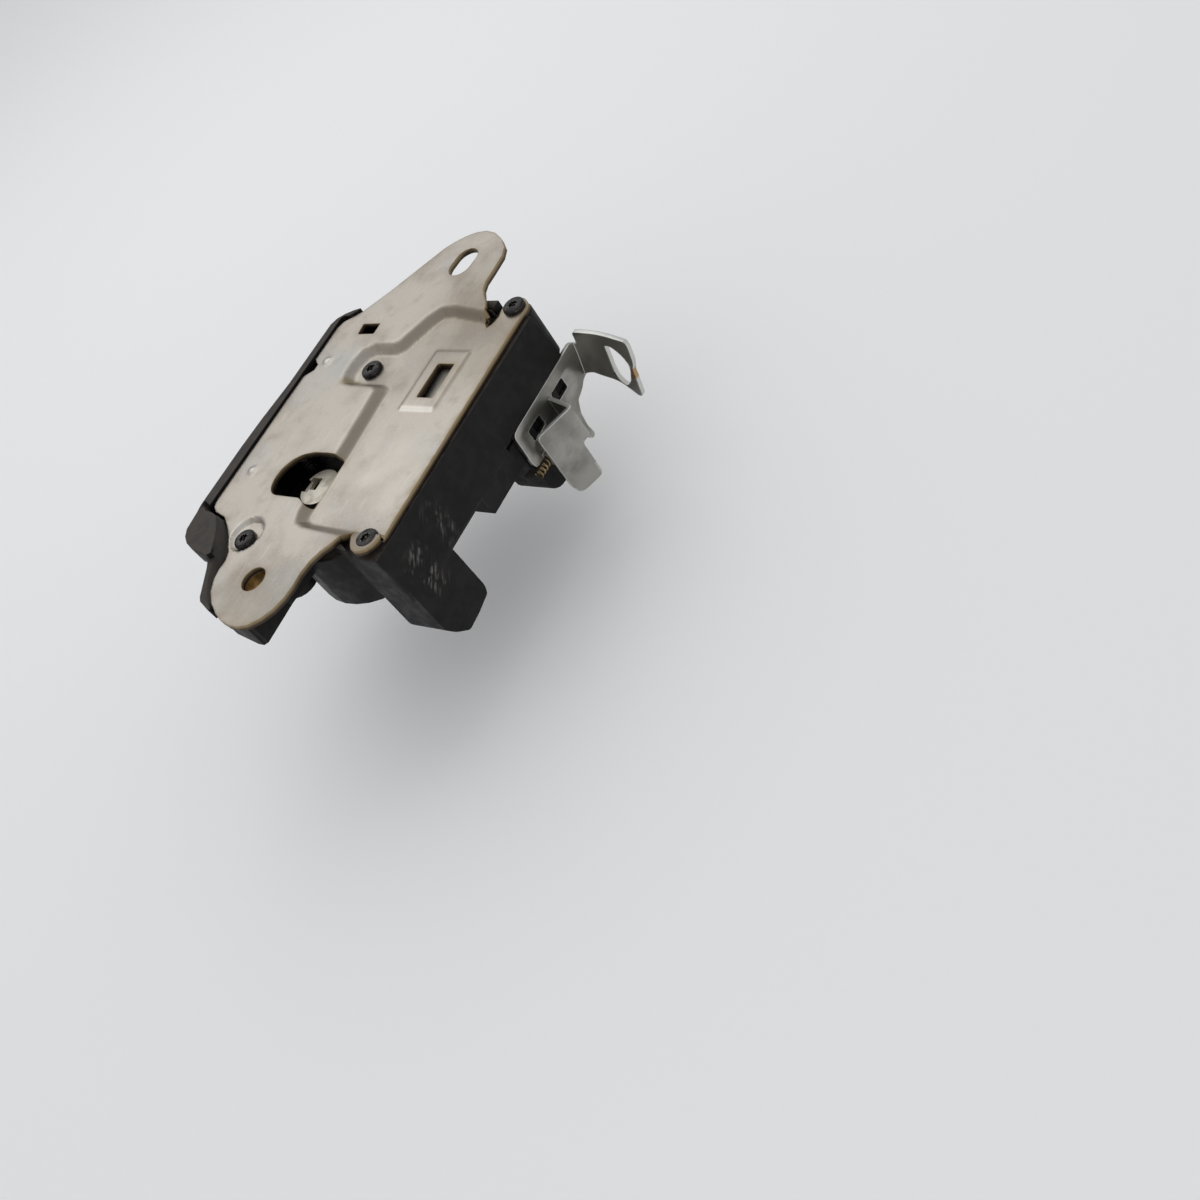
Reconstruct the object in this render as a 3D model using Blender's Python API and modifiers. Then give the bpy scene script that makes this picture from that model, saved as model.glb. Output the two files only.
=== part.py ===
"""Trunk latch: pressed mounting plate on a black moulded housing, with a rotary claw and pawl,
a key cam, a motor with worm and wheel, and a sheet-steel release slider on the rear cap.

Frame: origin midway between the two mounting holes, on the front face of the ears.
X runs along the plate, Y across it, +Z out of its front. Lengths here are millimetres.
"""
import math

import bmesh
import bpy
from mathutils import Matrix, Vector

MM = 0.001
GAP = 0.3                      # clearance between neighbouring pieces
FREE = 0.35                    # clearance where one moving piece stops just short of another

# Mounting plate
SHEET = 2.0                    # thickness of the pressed plate
SINK = 3.0                     # depth of the recessed field below the ears
A_UNDER = -SHEET
B_TOP = -SINK
B_UNDER = -SINK - SHEET
LOWER_HOLE = (-65.0, -0.5)
LOWER_HOLE_R = 4.3
UPPER_SLOT = (65.2, 0.5)
UPPER_SLOT_W = 9.0
UPPER_SLOT_L = 12.6
SLOT_TURN = math.radians(-4.0)

# Housing tray
WALL = 2.4
SIDE_Y = -40.0                 # side wall at the floor's level
SIDE_TOP_Y = -37.9             # the same wall under the plate: it leans out towards the rear
RIM_Y = 42.7
RIM_TOP = 0.8
FLAP_TOP = 3.0
FLOOR_TOP = -22.1
FLOOR_UNDER = -24.5
TRAY_TOP_A = A_UNDER - GAP
TRAY_TOP_B = B_UNDER - GAP
EAR_UNDER = -12.0
PLUG_FAR_Y = -25.0             # the connector block's inner side

# Screws through the plate
SCREW_R = 1.9
SCREW_HEAD_R = 3.75
SCREW_HEAD_H = 1.7
SCREW_CLEAR = 0.3
CLAW_AXIS = (19.2, 12.5)
SCREWS = {
    "top": (46.8, -31.9, B_TOP, 14.0),
    "bottom": (-44.9, -32.6, B_TOP, 14.0),
    "claw": (CLAW_AXIS[0], CLAW_AXIS[1], B_TOP, 14.0),
    "ear": (-51.6, 15.6, -1.5, 8.5),
}
DIMPLE_R = 6.3

# Striker mouth, claw and pawl
STRIKER_R = 4.5
MOUTH_HALF = 6.5
MOUTH_X = CLAW_AXIS[0] - 17.0
MOUTH_END = 12.0
LAYER_TOP = -12.5
LAYER_UNDER = -18.5
CLAW_SHUT = 52.0               # degrees from open to shut
BUSH_R = 5.0
PAWL_AXIS = (-12.0, 28.5)
PAWL_PIN_R = 4.0
PAWL_EYE_R = 6.5
PAWL_DROP = 8.5                # degrees from held out to dropped in
STUD = (-9.0, 0.0)             # stud on the pawl's tail
STUD_R = 2.0
STUD_UNDER = -21.6
SWEEP_R = 27.35                # the claw's largest radius

# Key cam
CAM_AXIS = (-25.5, 7.0)
CAM_DISC_R = 7.0
CAM_TOP = -6.5
CAM_ARM = 8.5
CAM_REST = -30.0               # degrees, where its arm points at rest
CAM_TURN = 90.0

# Motor, worm and wheel
MOTOR_Y = -21.0
MOTOR_Z = -29.5
MOTOR_X0 = 17.0
MOTOR_L = 21.0
MOTOR_W = 20.4
MOTOR_H = 14.8
WHEEL_AXIS = (4.0, -8.0)
WORM_R = 3.4
WORM_CORE_R = 2.1
WHEEL_TEETH = 26
WHEEL_TIP_R = 10.6
WHEEL_ROOT_R = 9.2
WHEEL_TOP = -26.6
WHEEL_UNDER = -31.8
ARM_REST = 248.4               # degrees, where the wheel's arm points at rest
WHEEL_TURN = 100.0

# Rear cap
CAP_SIDE_Y = -38.0
CAP_FAR_Y = 4.9
CAP_WALL = 1.6
CAP_TOP = FLOOR_UNDER - GAP
CAP_STEP_X = -9.4
CAP_STEP_Z = -34.4
CAP_DEEP_X = 11.0
CAP_DEEP_Z = -45.0
CAP_END_X = MOTOR_X0 + MOTOR_L + 3.0
CAP_LOBE_Z = -53.0

# Release slider
STRIP_T = 1.4
STRIP_OUT_Y = -39.8
STRIP_IN_Y = STRIP_OUT_Y + STRIP_T
SLIDE_TRAVEL = 4.4
WINDOW_Z = (-31.6, -27.0)
WINDOWS_X = ((17.4, 24.7), (32.9, 40.2))
BAR_Z = (-26.2, -25.0)
POST_L = 2.3

# Position switch worked by the claw's hub
SWITCH_TRAVEL = 1.2
HUB_RAMP_R = 11.5


# Places that several pieces share
UPPER_END = (34.0, 34.0)
CAP_SCREWS = ((-5.4, -33.6), (36.8, -1.4), (23.0, 0.6))
CAP_SEAT_Z = CAP_STEP_Z + 0.4
CAP_BOSS_TOP = LAYER_UNDER - 0.9
AXLE_FOOT_Z = CAP_STEP_Z + 0.8
STRIP_TOP_Z = -22.6
STRIP_MID_Z = FLOOR_TOP + 0.4
STEP_X = MOTOR_X0 - 2.2
ON_MOTOR_Z = MOTOR_Z + MOTOR_H / 2 + 0.4
PLUG_MID_Y = (SIDE_Y + PLUG_FAR_Y) / 2
CONTACTS = {
    "a": [(-41.0, PLUG_MID_Y, -43.0), (-41.0, PLUG_MID_Y, STRIP_MID_Z), (-41.0, -33.9, STRIP_MID_Z),
          (-30.0, -33.9, STRIP_MID_Z), (-30.0, -28.9, STRIP_MID_Z), (STEP_X, -28.9, STRIP_MID_Z),
          (STEP_X, -28.9, ON_MOTOR_Z), (MOTOR_X0 + 2.5, -28.9, ON_MOTOR_Z)],
    "b": [(-37.5, PLUG_MID_Y, -43.0), (-37.5, PLUG_MID_Y, STRIP_MID_Z), (-37.5, -22.5, STRIP_MID_Z),
          (11.5, -22.5, STRIP_MID_Z), (11.5, -6.5, STRIP_MID_Z), (31.4, -6.5, STRIP_MID_Z),
          (31.4, 7.6, STRIP_MID_Z), (31.4, 7.6, -16.5), (32.7, 7.6, -16.5)],
    "c": [(-34.0, PLUG_MID_Y, -43.0), (-34.0, PLUG_MID_Y, STRIP_MID_Z), (-34.0, -26.0, STRIP_MID_Z),
          (STEP_X, -26.0, STRIP_MID_Z), (STEP_X, -26.0, ON_MOTOR_Z),
          (MOTOR_X0 + 2.5, -26.0, ON_MOTOR_Z)],
}
CLAW_SPRING_HOLE = (CLAW_AXIS[0] - 1.0, CLAW_AXIS[1] + 7.4)
PAWL_SPRING_HOLE = (PAWL_AXIS[0] - 1.2, PAWL_AXIS[1] - 5.5)
SPRING_RESTS = ((24.4, 35.8), (-24.5, 36.15))
BAR_X = (13.1, 16.6)
BAR_END_Y = 2.5
FINGER_X = (STUD[0] + STUD_R + FREE + SLIDE_TRAVEL, STUD[0] + STUD_R + FREE + SLIDE_TRAVEL + STRIP_T)
SPRING_X = (9.5, 16.5)
SPRING_Y = -40.1
SPRING_Z = -39.9
SPRING_R = 1.25
SPRING_TURNS = 4


def clean_scene():
    for thing in list(bpy.data.objects):
        bpy.data.objects.remove(thing, do_unlink=True)


def group(name):
    made = bpy.data.collections.new(name)
    bpy.context.scene.collection.children.link(made)
    return made


def to_object(bm, name="shape"):
    bmesh.ops.remove_doubles(bm, verts=bm.verts, dist=0.00001)
    bmesh.ops.recalc_face_normals(bm, faces=bm.faces)
    mesh = bpy.data.meshes.new(name)
    bm.to_mesh(mesh)
    bm.free()
    thing = bpy.data.objects.new(name, mesh)
    bpy.context.scene.collection.objects.link(thing)
    return thing


def at(u, v, w, plane):
    """A point from outline coordinates u, v and height w, for outlines drawn in XY, XZ or YZ."""
    if plane == "XZ":
        return Vector((u * MM, w * MM, v * MM))
    if plane == "YZ":
        return Vector((w * MM, u * MM, v * MM))
    return Vector((u * MM, v * MM, w * MM))


def prism(points, low, high, plane="XY"):
    """A closed block: the outline pushed from low to high across its plane."""
    bm = bmesh.new()
    base = bm.faces.new([bm.verts.new(at(p[0], p[1], low, plane)) for p in points])
    lift = at(0, 0, high, plane) - at(0, 0, low, plane)
    grown = bmesh.ops.extrude_face_region(bm, geom=[base])
    moved = [g for g in grown["geom"] if isinstance(g, bmesh.types.BMVert)]
    bmesh.ops.translate(bm, verts=moved, vec=lift)
    return to_object(bm)


def block(x, y, z):
    return prism([(x[0], y[0]), (x[1], y[0]), (x[1], y[1]), (x[0], y[1])], z[0], z[1])


def ring_points(centre, radius, sides, first=0.0, last=360.0):
    """Points on a circle or, with angles in degrees, on an arc with both its ends."""
    whole = abs(last - first) >= 360.0
    steps = sides if whole else sides - 1
    out = []
    for i in range(sides):
        a = math.radians(first + (last - first) * i / steps)
        out.append((centre[0] + radius * math.cos(a), centre[1] + radius * math.sin(a)))
    return out


def drum(centre, radius, low, high, sides=24, plane="XY"):
    return prism(ring_points(centre, radius, sides), low, high, plane)


def cone(centre, r_low, r_high, low, high, sides=24):
    """A turned piece whose radius changes from r_low at low to r_high at high."""
    bm = bmesh.new()
    made = bmesh.ops.create_cone(
        bm, cap_ends=True, segments=sides, radius1=r_low * MM, radius2=r_high * MM,
        depth=(high - low) * MM)
    mid = Vector((centre[0] * MM, centre[1] * MM, (low + high) / 2 * MM))
    bmesh.ops.translate(bm, verts=made["verts"], vec=mid)
    return to_object(bm)


def lathe(centre, profile, sides=24):
    """A turned piece: the (radius, height) profile, first to last on the axis, spun about it."""
    bm = bmesh.new()
    rings = []
    for r, z in profile:
        if r == 0:
            rings.append([bm.verts.new(at(centre[0], centre[1], z, "XY"))])
        else:
            rings.append([bm.verts.new(at(x, y, z, "XY")) for x, y in ring_points(centre, r, sides)])
    for low, high in zip(rings, rings[1:]):
        for i in range(sides):
            k = (i + 1) % sides
            around = [low[i % len(low)], low[k % len(low)], high[k % len(high)], high[i % len(high)]]
            bm.faces.new([v for n, v in enumerate(around) if v not in around[:n]])
    return to_object(bm)


def rounded(points, radius, steps=3):
    """The outline with every corner rounded; radius may be one value or one per corner."""
    out = []
    count = len(points)
    for i in range(count):
        r = radius[i] if isinstance(radius, (list, tuple)) else radius
        here = Vector(points[i])
        back = Vector(points[i - 1]) - here
        ahead = Vector(points[(i + 1) % count]) - here
        reach = min(r, back.length * 0.45, ahead.length * 0.45)
        if reach < 0.05:
            out.append(tuple(here))
            continue
        a = here + back.normalized() * reach
        b = here + ahead.normalized() * reach
        for k in range(steps + 1):
            t = k / steps
            spot = a * (1 - t) ** 2 + here * (2 * t * (1 - t)) + b * t ** 2
            out.append(tuple(spot))
    return out


def combine(target, others, operation):
    """Joins to, cuts from or keeps in common with the target, then drops the tools used."""
    for other in others:
        mod = target.modifiers.new("cut", "BOOLEAN")
        mod.operation = operation
        mod.solver = "EXACT"
        mod.object = other
        graph = bpy.context.evaluated_depsgraph_get()
        mesh = bpy.data.meshes.new_from_object(target.evaluated_get(graph))
        target.modifiers.clear()
        target.data = mesh
        bpy.data.objects.remove(other, do_unlink=True)
    return target


def add(target, *others):
    return combine(target, others, "UNION")


def cut(target, *others):
    return combine(target, others, "DIFFERENCE")


def common(target, *others):
    return combine(target, others, "INTERSECT")


def turned(thing, degrees, centre):
    """Turns the mesh about a vertical axis through the centre."""
    mid = Vector((centre[0] * MM, centre[1] * MM, 0))
    turn = Matrix.Translation(mid) @ Matrix.Rotation(math.radians(degrees), 4, "Z")
    thing.data.transform(turn @ Matrix.Translation(-mid))
    return thing


def coil(points, wire_r):
    """A round wire along the points, with filled ends, as a mesh."""
    curve = bpy.data.curves.new("wire", "CURVE")
    curve.dimensions = "3D"
    curve.bevel_depth = wire_r * MM
    curve.bevel_resolution = 2
    curve.use_fill_caps = True
    line = curve.splines.new("POLY")
    line.points.add(len(points) - 1)
    for spot, p in zip(line.points, points):
        spot.co = (p[0] * MM, p[1] * MM, p[2] * MM, 1.0)
    holder = bpy.data.objects.new("wire", curve)
    bpy.context.scene.collection.objects.link(holder)
    graph = bpy.context.evaluated_depsgraph_get()
    mesh = bpy.data.meshes.new_from_object(holder.evaluated_get(graph))
    bpy.data.objects.remove(holder, do_unlink=True)
    bm = bmesh.new()
    bm.from_mesh(mesh)
    return to_object(bm)


def torsion_points(centre, radius, low, pitch, turns, first, leg, per_turn=14):
    """A torsion spring's wire about a vertical axis: its turns, then a straight leg off the last."""
    out = []
    steps = int(turns * per_turn)
    for i in range(steps + 1):
        a = math.radians(first) + 2 * math.pi * turns * i / steps
        z = low + pitch * turns * i / steps
        out.append((centre[0] + radius * math.cos(a), centre[1] + radius * math.sin(a), z))
    last = math.radians(first) + 2 * math.pi * turns
    x, y, z = out[-1]
    return out + [(x - leg * math.sin(last), y + leg * math.cos(last), z)]


def finish(thing, name, material, axis=None, smooth=False):
    """Names the piece, gives it its material and puts its origin on its axis."""
    thing.name = name
    thing.data.name = name
    if axis is not None:
        mid = Vector((axis[0] * MM, axis[1] * MM, axis[2] * MM))
        thing.data.transform(Matrix.Translation(-mid))
        thing.location = mid
    thing.data.materials.clear()
    thing.data.materials.append(material)
    for face in thing.data.polygons:
        face.use_smooth = smooth
    for holder in list(thing.users_collection):
        holder.objects.unlink(thing)
    LATCH.objects.link(thing)
    return thing


def material(name, colour, metallic, roughness):
    made = bpy.data.materials.new(name)
    made.use_nodes = True
    shader = made.node_tree.nodes["Principled BSDF"]
    shader.inputs["Base Color"].default_value = (*colour, 1.0)
    shader.inputs["Metallic"].default_value = metallic
    shader.inputs["Roughness"].default_value = roughness
    return made


# The line where the plate bends down from the ears' level, from the upper notch to the lower one
BEND_TOP = [
    (43.1, -23.7), (45.6, -9.0), (45.0, -3.0), (41.0, 0.9), (30.2, 6.2), (28.9, 8.6),
    (28.7, 16.2), (26.4, 20.3), (21.5, 22.0), (15.4, 21.8), (11.2, 19.0), (10.4, 15.0),
    (10.2, 5.0), (8.6, 2.7), (-15.6, 0.7), (-39.4, 0.4), (-43.6, -1.2), (-45.0, -5.5),
    (-46.4, -24.0)]
# The same bend's foot, on the recessed level
BEND_FOOT = [
    (39.9, -23.6), (42.6, -9.2), (42.4, -4.4), (40.0, -2.6), (28.2, 3.2), (26.4, 5.8),
    (26.2, 15.2), (24.4, 17.8), (20.9, 18.9), (16.6, 18.8), (13.9, 17.0), (13.4, 13.8),
    (13.2, 3.0), (11.8, -0.4), (-15.8, -2.2), (-38.4, -2.6), (-41.0, -3.6), (-42.0, -6.3),
    (-42.7, -24.9)]
# The plate's edge on the ears' level, from the lower notch round both ears to the upper notch
EDGE_EARS = [
    (-49.8, -22.2), (-52.4, -20.2), (-56.3, -18.5), (-60.5, -17.9), (-65.1, -18.2),
    (-69.3, -17.8), (-73.6, -16.4), (-77.3, -13.8), (-80.1, -10.3), (-81.3, -6.5),
    (-81.2, -2.5), (-80.2, 1.8), (-78.2, 6.0), (-75.4, 10.4), (-72.0, 13.9), (-67.6, 16.2),
    (-63.8, 17.0), (-60.4, 16.8), (-57.3, 18.0), (-52.3, 22.1), (-47.6, 27.4), (-44.9, 30.8),
    (-43.4, 36.6), (-41.6, 38.9), (-38.4, 39.9), (13.4, 39.9), (14.9, 38.4), (16.4, 36.7),
    (18.9, 36.7), (20.2, 38.6), (21.4, 39.9), (35.6, 39.9), (38.4, 38.6), (43.3, 32.6),
    (52.4, 26.0), (72.1, 13.7), (75.0, 10.8), (77.4, 7.4), (79.1, 3.6), (79.6, -0.8),
    (78.4, -5.4), (75.6, -9.8), (71.8, -13.6), (67.6, -15.3), (60.8, -15.6), (55.8, -15.6),
    (52.6, -16.6), (49.6, -18.7), (46.8, -21.4)]
# The plate's edge on the recessed level, from the upper notch down the side to the lower notch
EDGE_SIDE = [
    (38.3, -25.4), (40.4, -26.7), (43.2, -27.4), (45.0, -26.8), (46.8, -26.6), (48.6, -26.9),
    (50.1, -27.9), (51.0, -29.4), (51.3, -31.1), (51.1, -32.7), (50.5, -34.1), (49.6, -35.3),
    (48.3, -36.2), (46.6, -36.6), (43.0, -36.5), (-41.0, -37.5), (-43.5, -37.6), (-45.6, -37.3),
    (-47.5, -36.6), (-49.0, -35.3), (-49.9, -33.6), (-50.2, -31.9), (-49.7, -30.2),
    (-48.4, -28.9), (-46.4, -27.6)]
CRESCENT = [
    (-36.6, -2.55), (-37.0, -0.8), (-36.2, 0.9), (-34.8, 3.2), (-34.7, 15.0), (-33.8, 17.4),
    (-31.6, 19.2), (-28.0, 20.1), (-24.2, 19.6), (-20.8, 17.6), (-18.4, 14.4), (-17.2, 10.0),
    (-17.0, 4.0), (-17.3, -2.2)]


def plate_surface():
    """The plate's front face as one open surface: ears' level, bend and recessed level."""
    bm = bmesh.new()

    def spots(points, z):
        return [bm.verts.new(at(p[0], p[1], z, "XY")) for p in points]

    top = spots(BEND_TOP, 0.0)
    foot = spots(BEND_FOOT, B_TOP)
    ears = spots(EDGE_EARS, 0.0)
    side = spots(EDGE_SIDE, B_TOP)
    bm.faces.new([top[-1]] + ears + top[:-1])
    bm.faces.new([foot[0]] + side + list(reversed(foot[1:])))
    for i in range(len(top) - 1):
        bm.faces.new([top[i], foot[i], foot[i + 1], top[i + 1]])
    bmesh.ops.recalc_face_normals(bm, faces=bm.faces)
    mesh = bpy.data.meshes.new("plate")
    bm.to_mesh(mesh)
    bm.free()
    thing = bpy.data.objects.new("plate", mesh)
    bpy.context.scene.collection.objects.link(thing)
    return thing


def slot_outline(centre, length, width, turn, steps=9):
    half = (length - width) / 2
    out = []
    for end, first in ((1, -90.0), (-1, 90.0)):
        mid = (half * end, 0.0)
        out += ring_points(mid, width / 2, steps, first, first + 180.0)
    c, s = math.cos(turn), math.sin(turn)
    return [(centre[0] + x * c - y * s, centre[1] + x * s + y * c) for x, y in out]


def mounting_plate():
    """Pressed steel plate: two ears, a recessed field, screw seats and openings."""
    thing = plate_surface()
    solid = thing.modifiers.new("sheet", "SOLIDIFY")
    solid.thickness = SHEET * MM
    solid.offset = -1.0
    solid.use_even_offset = True
    graph = bpy.context.evaluated_depsgraph_get()
    thing.data = bpy.data.meshes.new_from_object(thing.evaluated_get(graph))
    thing.modifiers.clear()
    low = min(v.co.z for v in thing.data.vertices)
    if low > -SHEET * MM:
        raise RuntimeError("the sheet grew to the wrong side")
    pad = prism(rounded([(4.3, -25.3), (28.2, -25.3), (28.2, -10.4), (4.3, -10.4)], 1.2, 2),
                B_TOP - 0.6, B_TOP + 0.5)
    pips = [cone(c, 2.3, 1.2, -0.5, 0.7, 14) for c in ((20.5, 33.0), (-26.4, 32.5))]
    x, y, seat, _ = SCREWS["ear"]
    edge = prism(list(reversed(BEND_TOP)) + list(reversed(EDGE_EARS)), -20.0, 20.0)
    cup = common(drum((x + 1.6, y), DIMPLE_R + SHEET, seat - SHEET, -0.4, 28), edge)
    add(thing, pad, cup, *pips)
    cut(thing, drum((x + 1.6, y), DIMPLE_R, seat, 5.0, 28))
    holes = [drum(LOWER_HOLE, LOWER_HOLE_R, -9, 9, 24),
             prism(slot_outline(UPPER_SLOT, UPPER_SLOT_L, UPPER_SLOT_W, SLOT_TURN), -9, 9),
             prism(rounded([(32.9, 20.0), (37.6, 20.2), (37.4, 28.2), (32.7, 27.6)], 0.6, 2), -9, 9),
             prism(rounded([(8.6, -22.2), (22.6, -22.2), (22.6, -15.0), (8.6, -15.0)], 0.6, 2), -9, 9),
             prism(CRESCENT, -9, 9)]
    for x, y, _, _ in SCREWS.values():
        holes.append(drum((x, y), SCREW_R + SCREW_CLEAR, -9, 9, 16))
    cut(thing, *holes)
    return finish(thing, "mounting_plate", STEEL)


def window_backing():
    """Steel sheet welded behind the plate's rectangular slot."""
    top = B_UNDER - 0.05
    outline = rounded([(5.6, -25.0), (25.6, -25.0), (25.6, -12.2), (5.6, -12.2)], 1.5, 2)
    shape = prism(outline, top - 1.0, top)
    return finish(shape, "window_backing", ZINC_SHEET)


def star_outline(centre, radius, lobes=6):
    """A six-lobed screw recess."""
    out = []
    for i in range(lobes * 2):
        r = radius if i % 2 == 0 else radius * 0.72
        a = math.pi * i / lobes
        out.append((centre[0] + r * math.cos(a), centre[1] + r * math.sin(a)))
    return out


def plate_screw(name, x, y, seat, length):
    """One thread-forming screw that holds the plate to the housing, with a six-lobed recess."""
    base = seat + 0.05
    top = base + SCREW_HEAD_H
    profile = [(0, seat - length), (SCREW_R * 0.7, seat - length), (SCREW_R, seat - length + 1.0),
               (SCREW_R, base), (SCREW_HEAD_R, base), (SCREW_HEAD_R, base + SCREW_HEAD_H * 0.5),
               (SCREW_HEAD_R * 0.92, base + SCREW_HEAD_H * 0.78), (SCREW_HEAD_R * 0.74, top), (0, top)]
    one = lathe((x, y), profile, 24)
    cut(one, prism(star_outline((x, y), 1.7), top - 1.1, top + 1.0))
    return finish(one, "plate_screw_" + name, BLACK_STEEL)


# The rim along the plate's left edge: its outer line, then back along the plate
RIM_OUTER = [
    (43.9, 33.9), (43.0, 36.4), (41.3, 39.6), (39.2, 42.0), (36.3, 43.2), (10.0, 43.2),
    (-6.0, 44.4), (-18.0, 44.8), (-42.0, 44.6), (-52.0, 42.5), (-56.3, 38.0), (-58.6, 33.0),
    (-60.4, 25.6), (-62.0, 23.3), (-64.3, 21.6), (-74.4, 15.9), (-75.8, 14.5), (-78.2, 8.6)]
RIM_INNER = [
    (-77.6, 8.0), (-75.7, 11.0), (-72.2, 14.4), (-68.2, 17.4), (-62.9, 20.2), (-60.2, 20.8),
    (-55.8, 23.2), (-50.8, 26.4), (-46.3, 30.3), (-45.4, 33.0), (-44.9, 36.9), (-42.4, 39.5),
    (-38.6, 40.3), (13.9, 40.3), (15.4, 38.8), (16.8, 37.2), (18.6, 37.2), (19.7, 38.8),
    (21.1, 40.3), (35.8, 40.3), (38.8, 39.1), (42.6, 34.4)]
# The wide flap at the rim's lower end
FLAP = [
    (-41.5, 40.7), (-47.8, 40.2), (-53.0, 39.6), (-55.8, 37.9), (-58.1, 35.0), (-60.1, 30.2),
    (-60.6, 25.8), (-61.2, 22.6), (-60.0, 21.2), (-55.6, 23.6), (-50.6, 26.8), (-46.7, 30.5),
    (-45.8, 33.2), (-45.3, 37.2), (-42.6, 39.6)]


def tray_outer():
    """The tray, the rim along the left edge, the end under the lower ear and the connector block."""
    lean = (SIDE_TOP_Y - SIDE_Y) / (TRAY_TOP_B - FLOOR_UNDER)
    body = prism(rounded([(45.4, SIDE_Y - 0.5), (45.4, -12.5), (43.0, -10.0), (43.0, RIM_Y),
                          (-47.0, RIM_Y), (-47.0, -12.0), (-49.6, -25.0), (-50.4, -38.5),
                          (-48.6, SIDE_Y - 0.5)],
                         [1.0, 1.0, 1.0, 4.0, 1.0, 1.0, 1.0, 1.0, 1.0], 2), FLOOR_UNDER, TRAY_TOP_A)
    ear = prism([(-40.0, -9.0), (-64.0, -6.7), (-78.2, -7.2), (-79.4, -6.2), (-79.4, -3.5),
                 (-77.6, 7.8), (-75.4, 14.2), (-74.1, 15.4), (-64.1, 21.2), (-61.7, 23.0),
                 (-60.1, 25.7), (-58.3, 32.8), (-56.0, 37.7), (-51.8, 42.0), (-46.0, RIM_Y - 0.1),
                 (-40.0, RIM_Y - 0.1)], EAR_UNDER, TRAY_TOP_A)
    rim = prism(RIM_OUTER + RIM_INNER, TRAY_TOP_A - 1.0, RIM_TOP)
    flap = prism(FLAP, TRAY_TOP_A - 0.5, FLAP_TOP)
    belly = prism([(-44.0, 7.0), (-48.6, 5.4), (-51.0, 0.6), (-52.5, -4.0), (-53.1, -8.6),
                   (-52.8, -13.4), (-51.6, -18.3), (-49.4, -22.8), (-44.0, -27.0)],
                  FLOOR_UNDER - 2.5, -6.0)
    small = drum((-49.6, 12.6), 6.0, FLOOR_UNDER - 0.6, -6.0, 20)
    plug = prism(rounded([(-30.0, -20.0), (-29.6, -43.6), (-30.6, -46.4), (-37.1, -47.6),
                          (-43.4, -48.0), (-47.4, -43.6), (-49.7, -39.5), (-49.8, -24.0),
                          (-49.8, -20.0)], 1.0, 2), SIDE_Y, PLUG_FAR_Y, "XZ")
    skirt = block((-32.0, -10.6), (SIDE_Y + 0.1, SIDE_Y + WALL),
                  (FLOOR_UNDER - 0.9, FLOOR_UNDER + 0.5))
    low_nib = prism(rounded([(40.0, -27.0), (49.6, -27.0), (49.6, -15.6), (40.0, -15.6)], 1.5, 2),
                    -18.0, TRAY_TOP_B)
    high_nib = block((46.4, 49.4), (-26.2, -19.0), (-17.0, TRAY_TOP_A))
    add(body, ear, rim, flap, belly, small, plug, skirt, low_nib, high_nib)
    low, high = FLOOR_UNDER - 2.0, 1.0
    wedge = prism([(SIDE_Y - 5.0, high), (SIDE_TOP_Y + lean * (high - TRAY_TOP_B), high),
                   (SIDE_TOP_Y + lean * (low - TRAY_TOP_B), low), (SIDE_Y - 5.0, low)],
                  -60.0, 60.0, "YZ")
    return cut(body, wedge)


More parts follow.
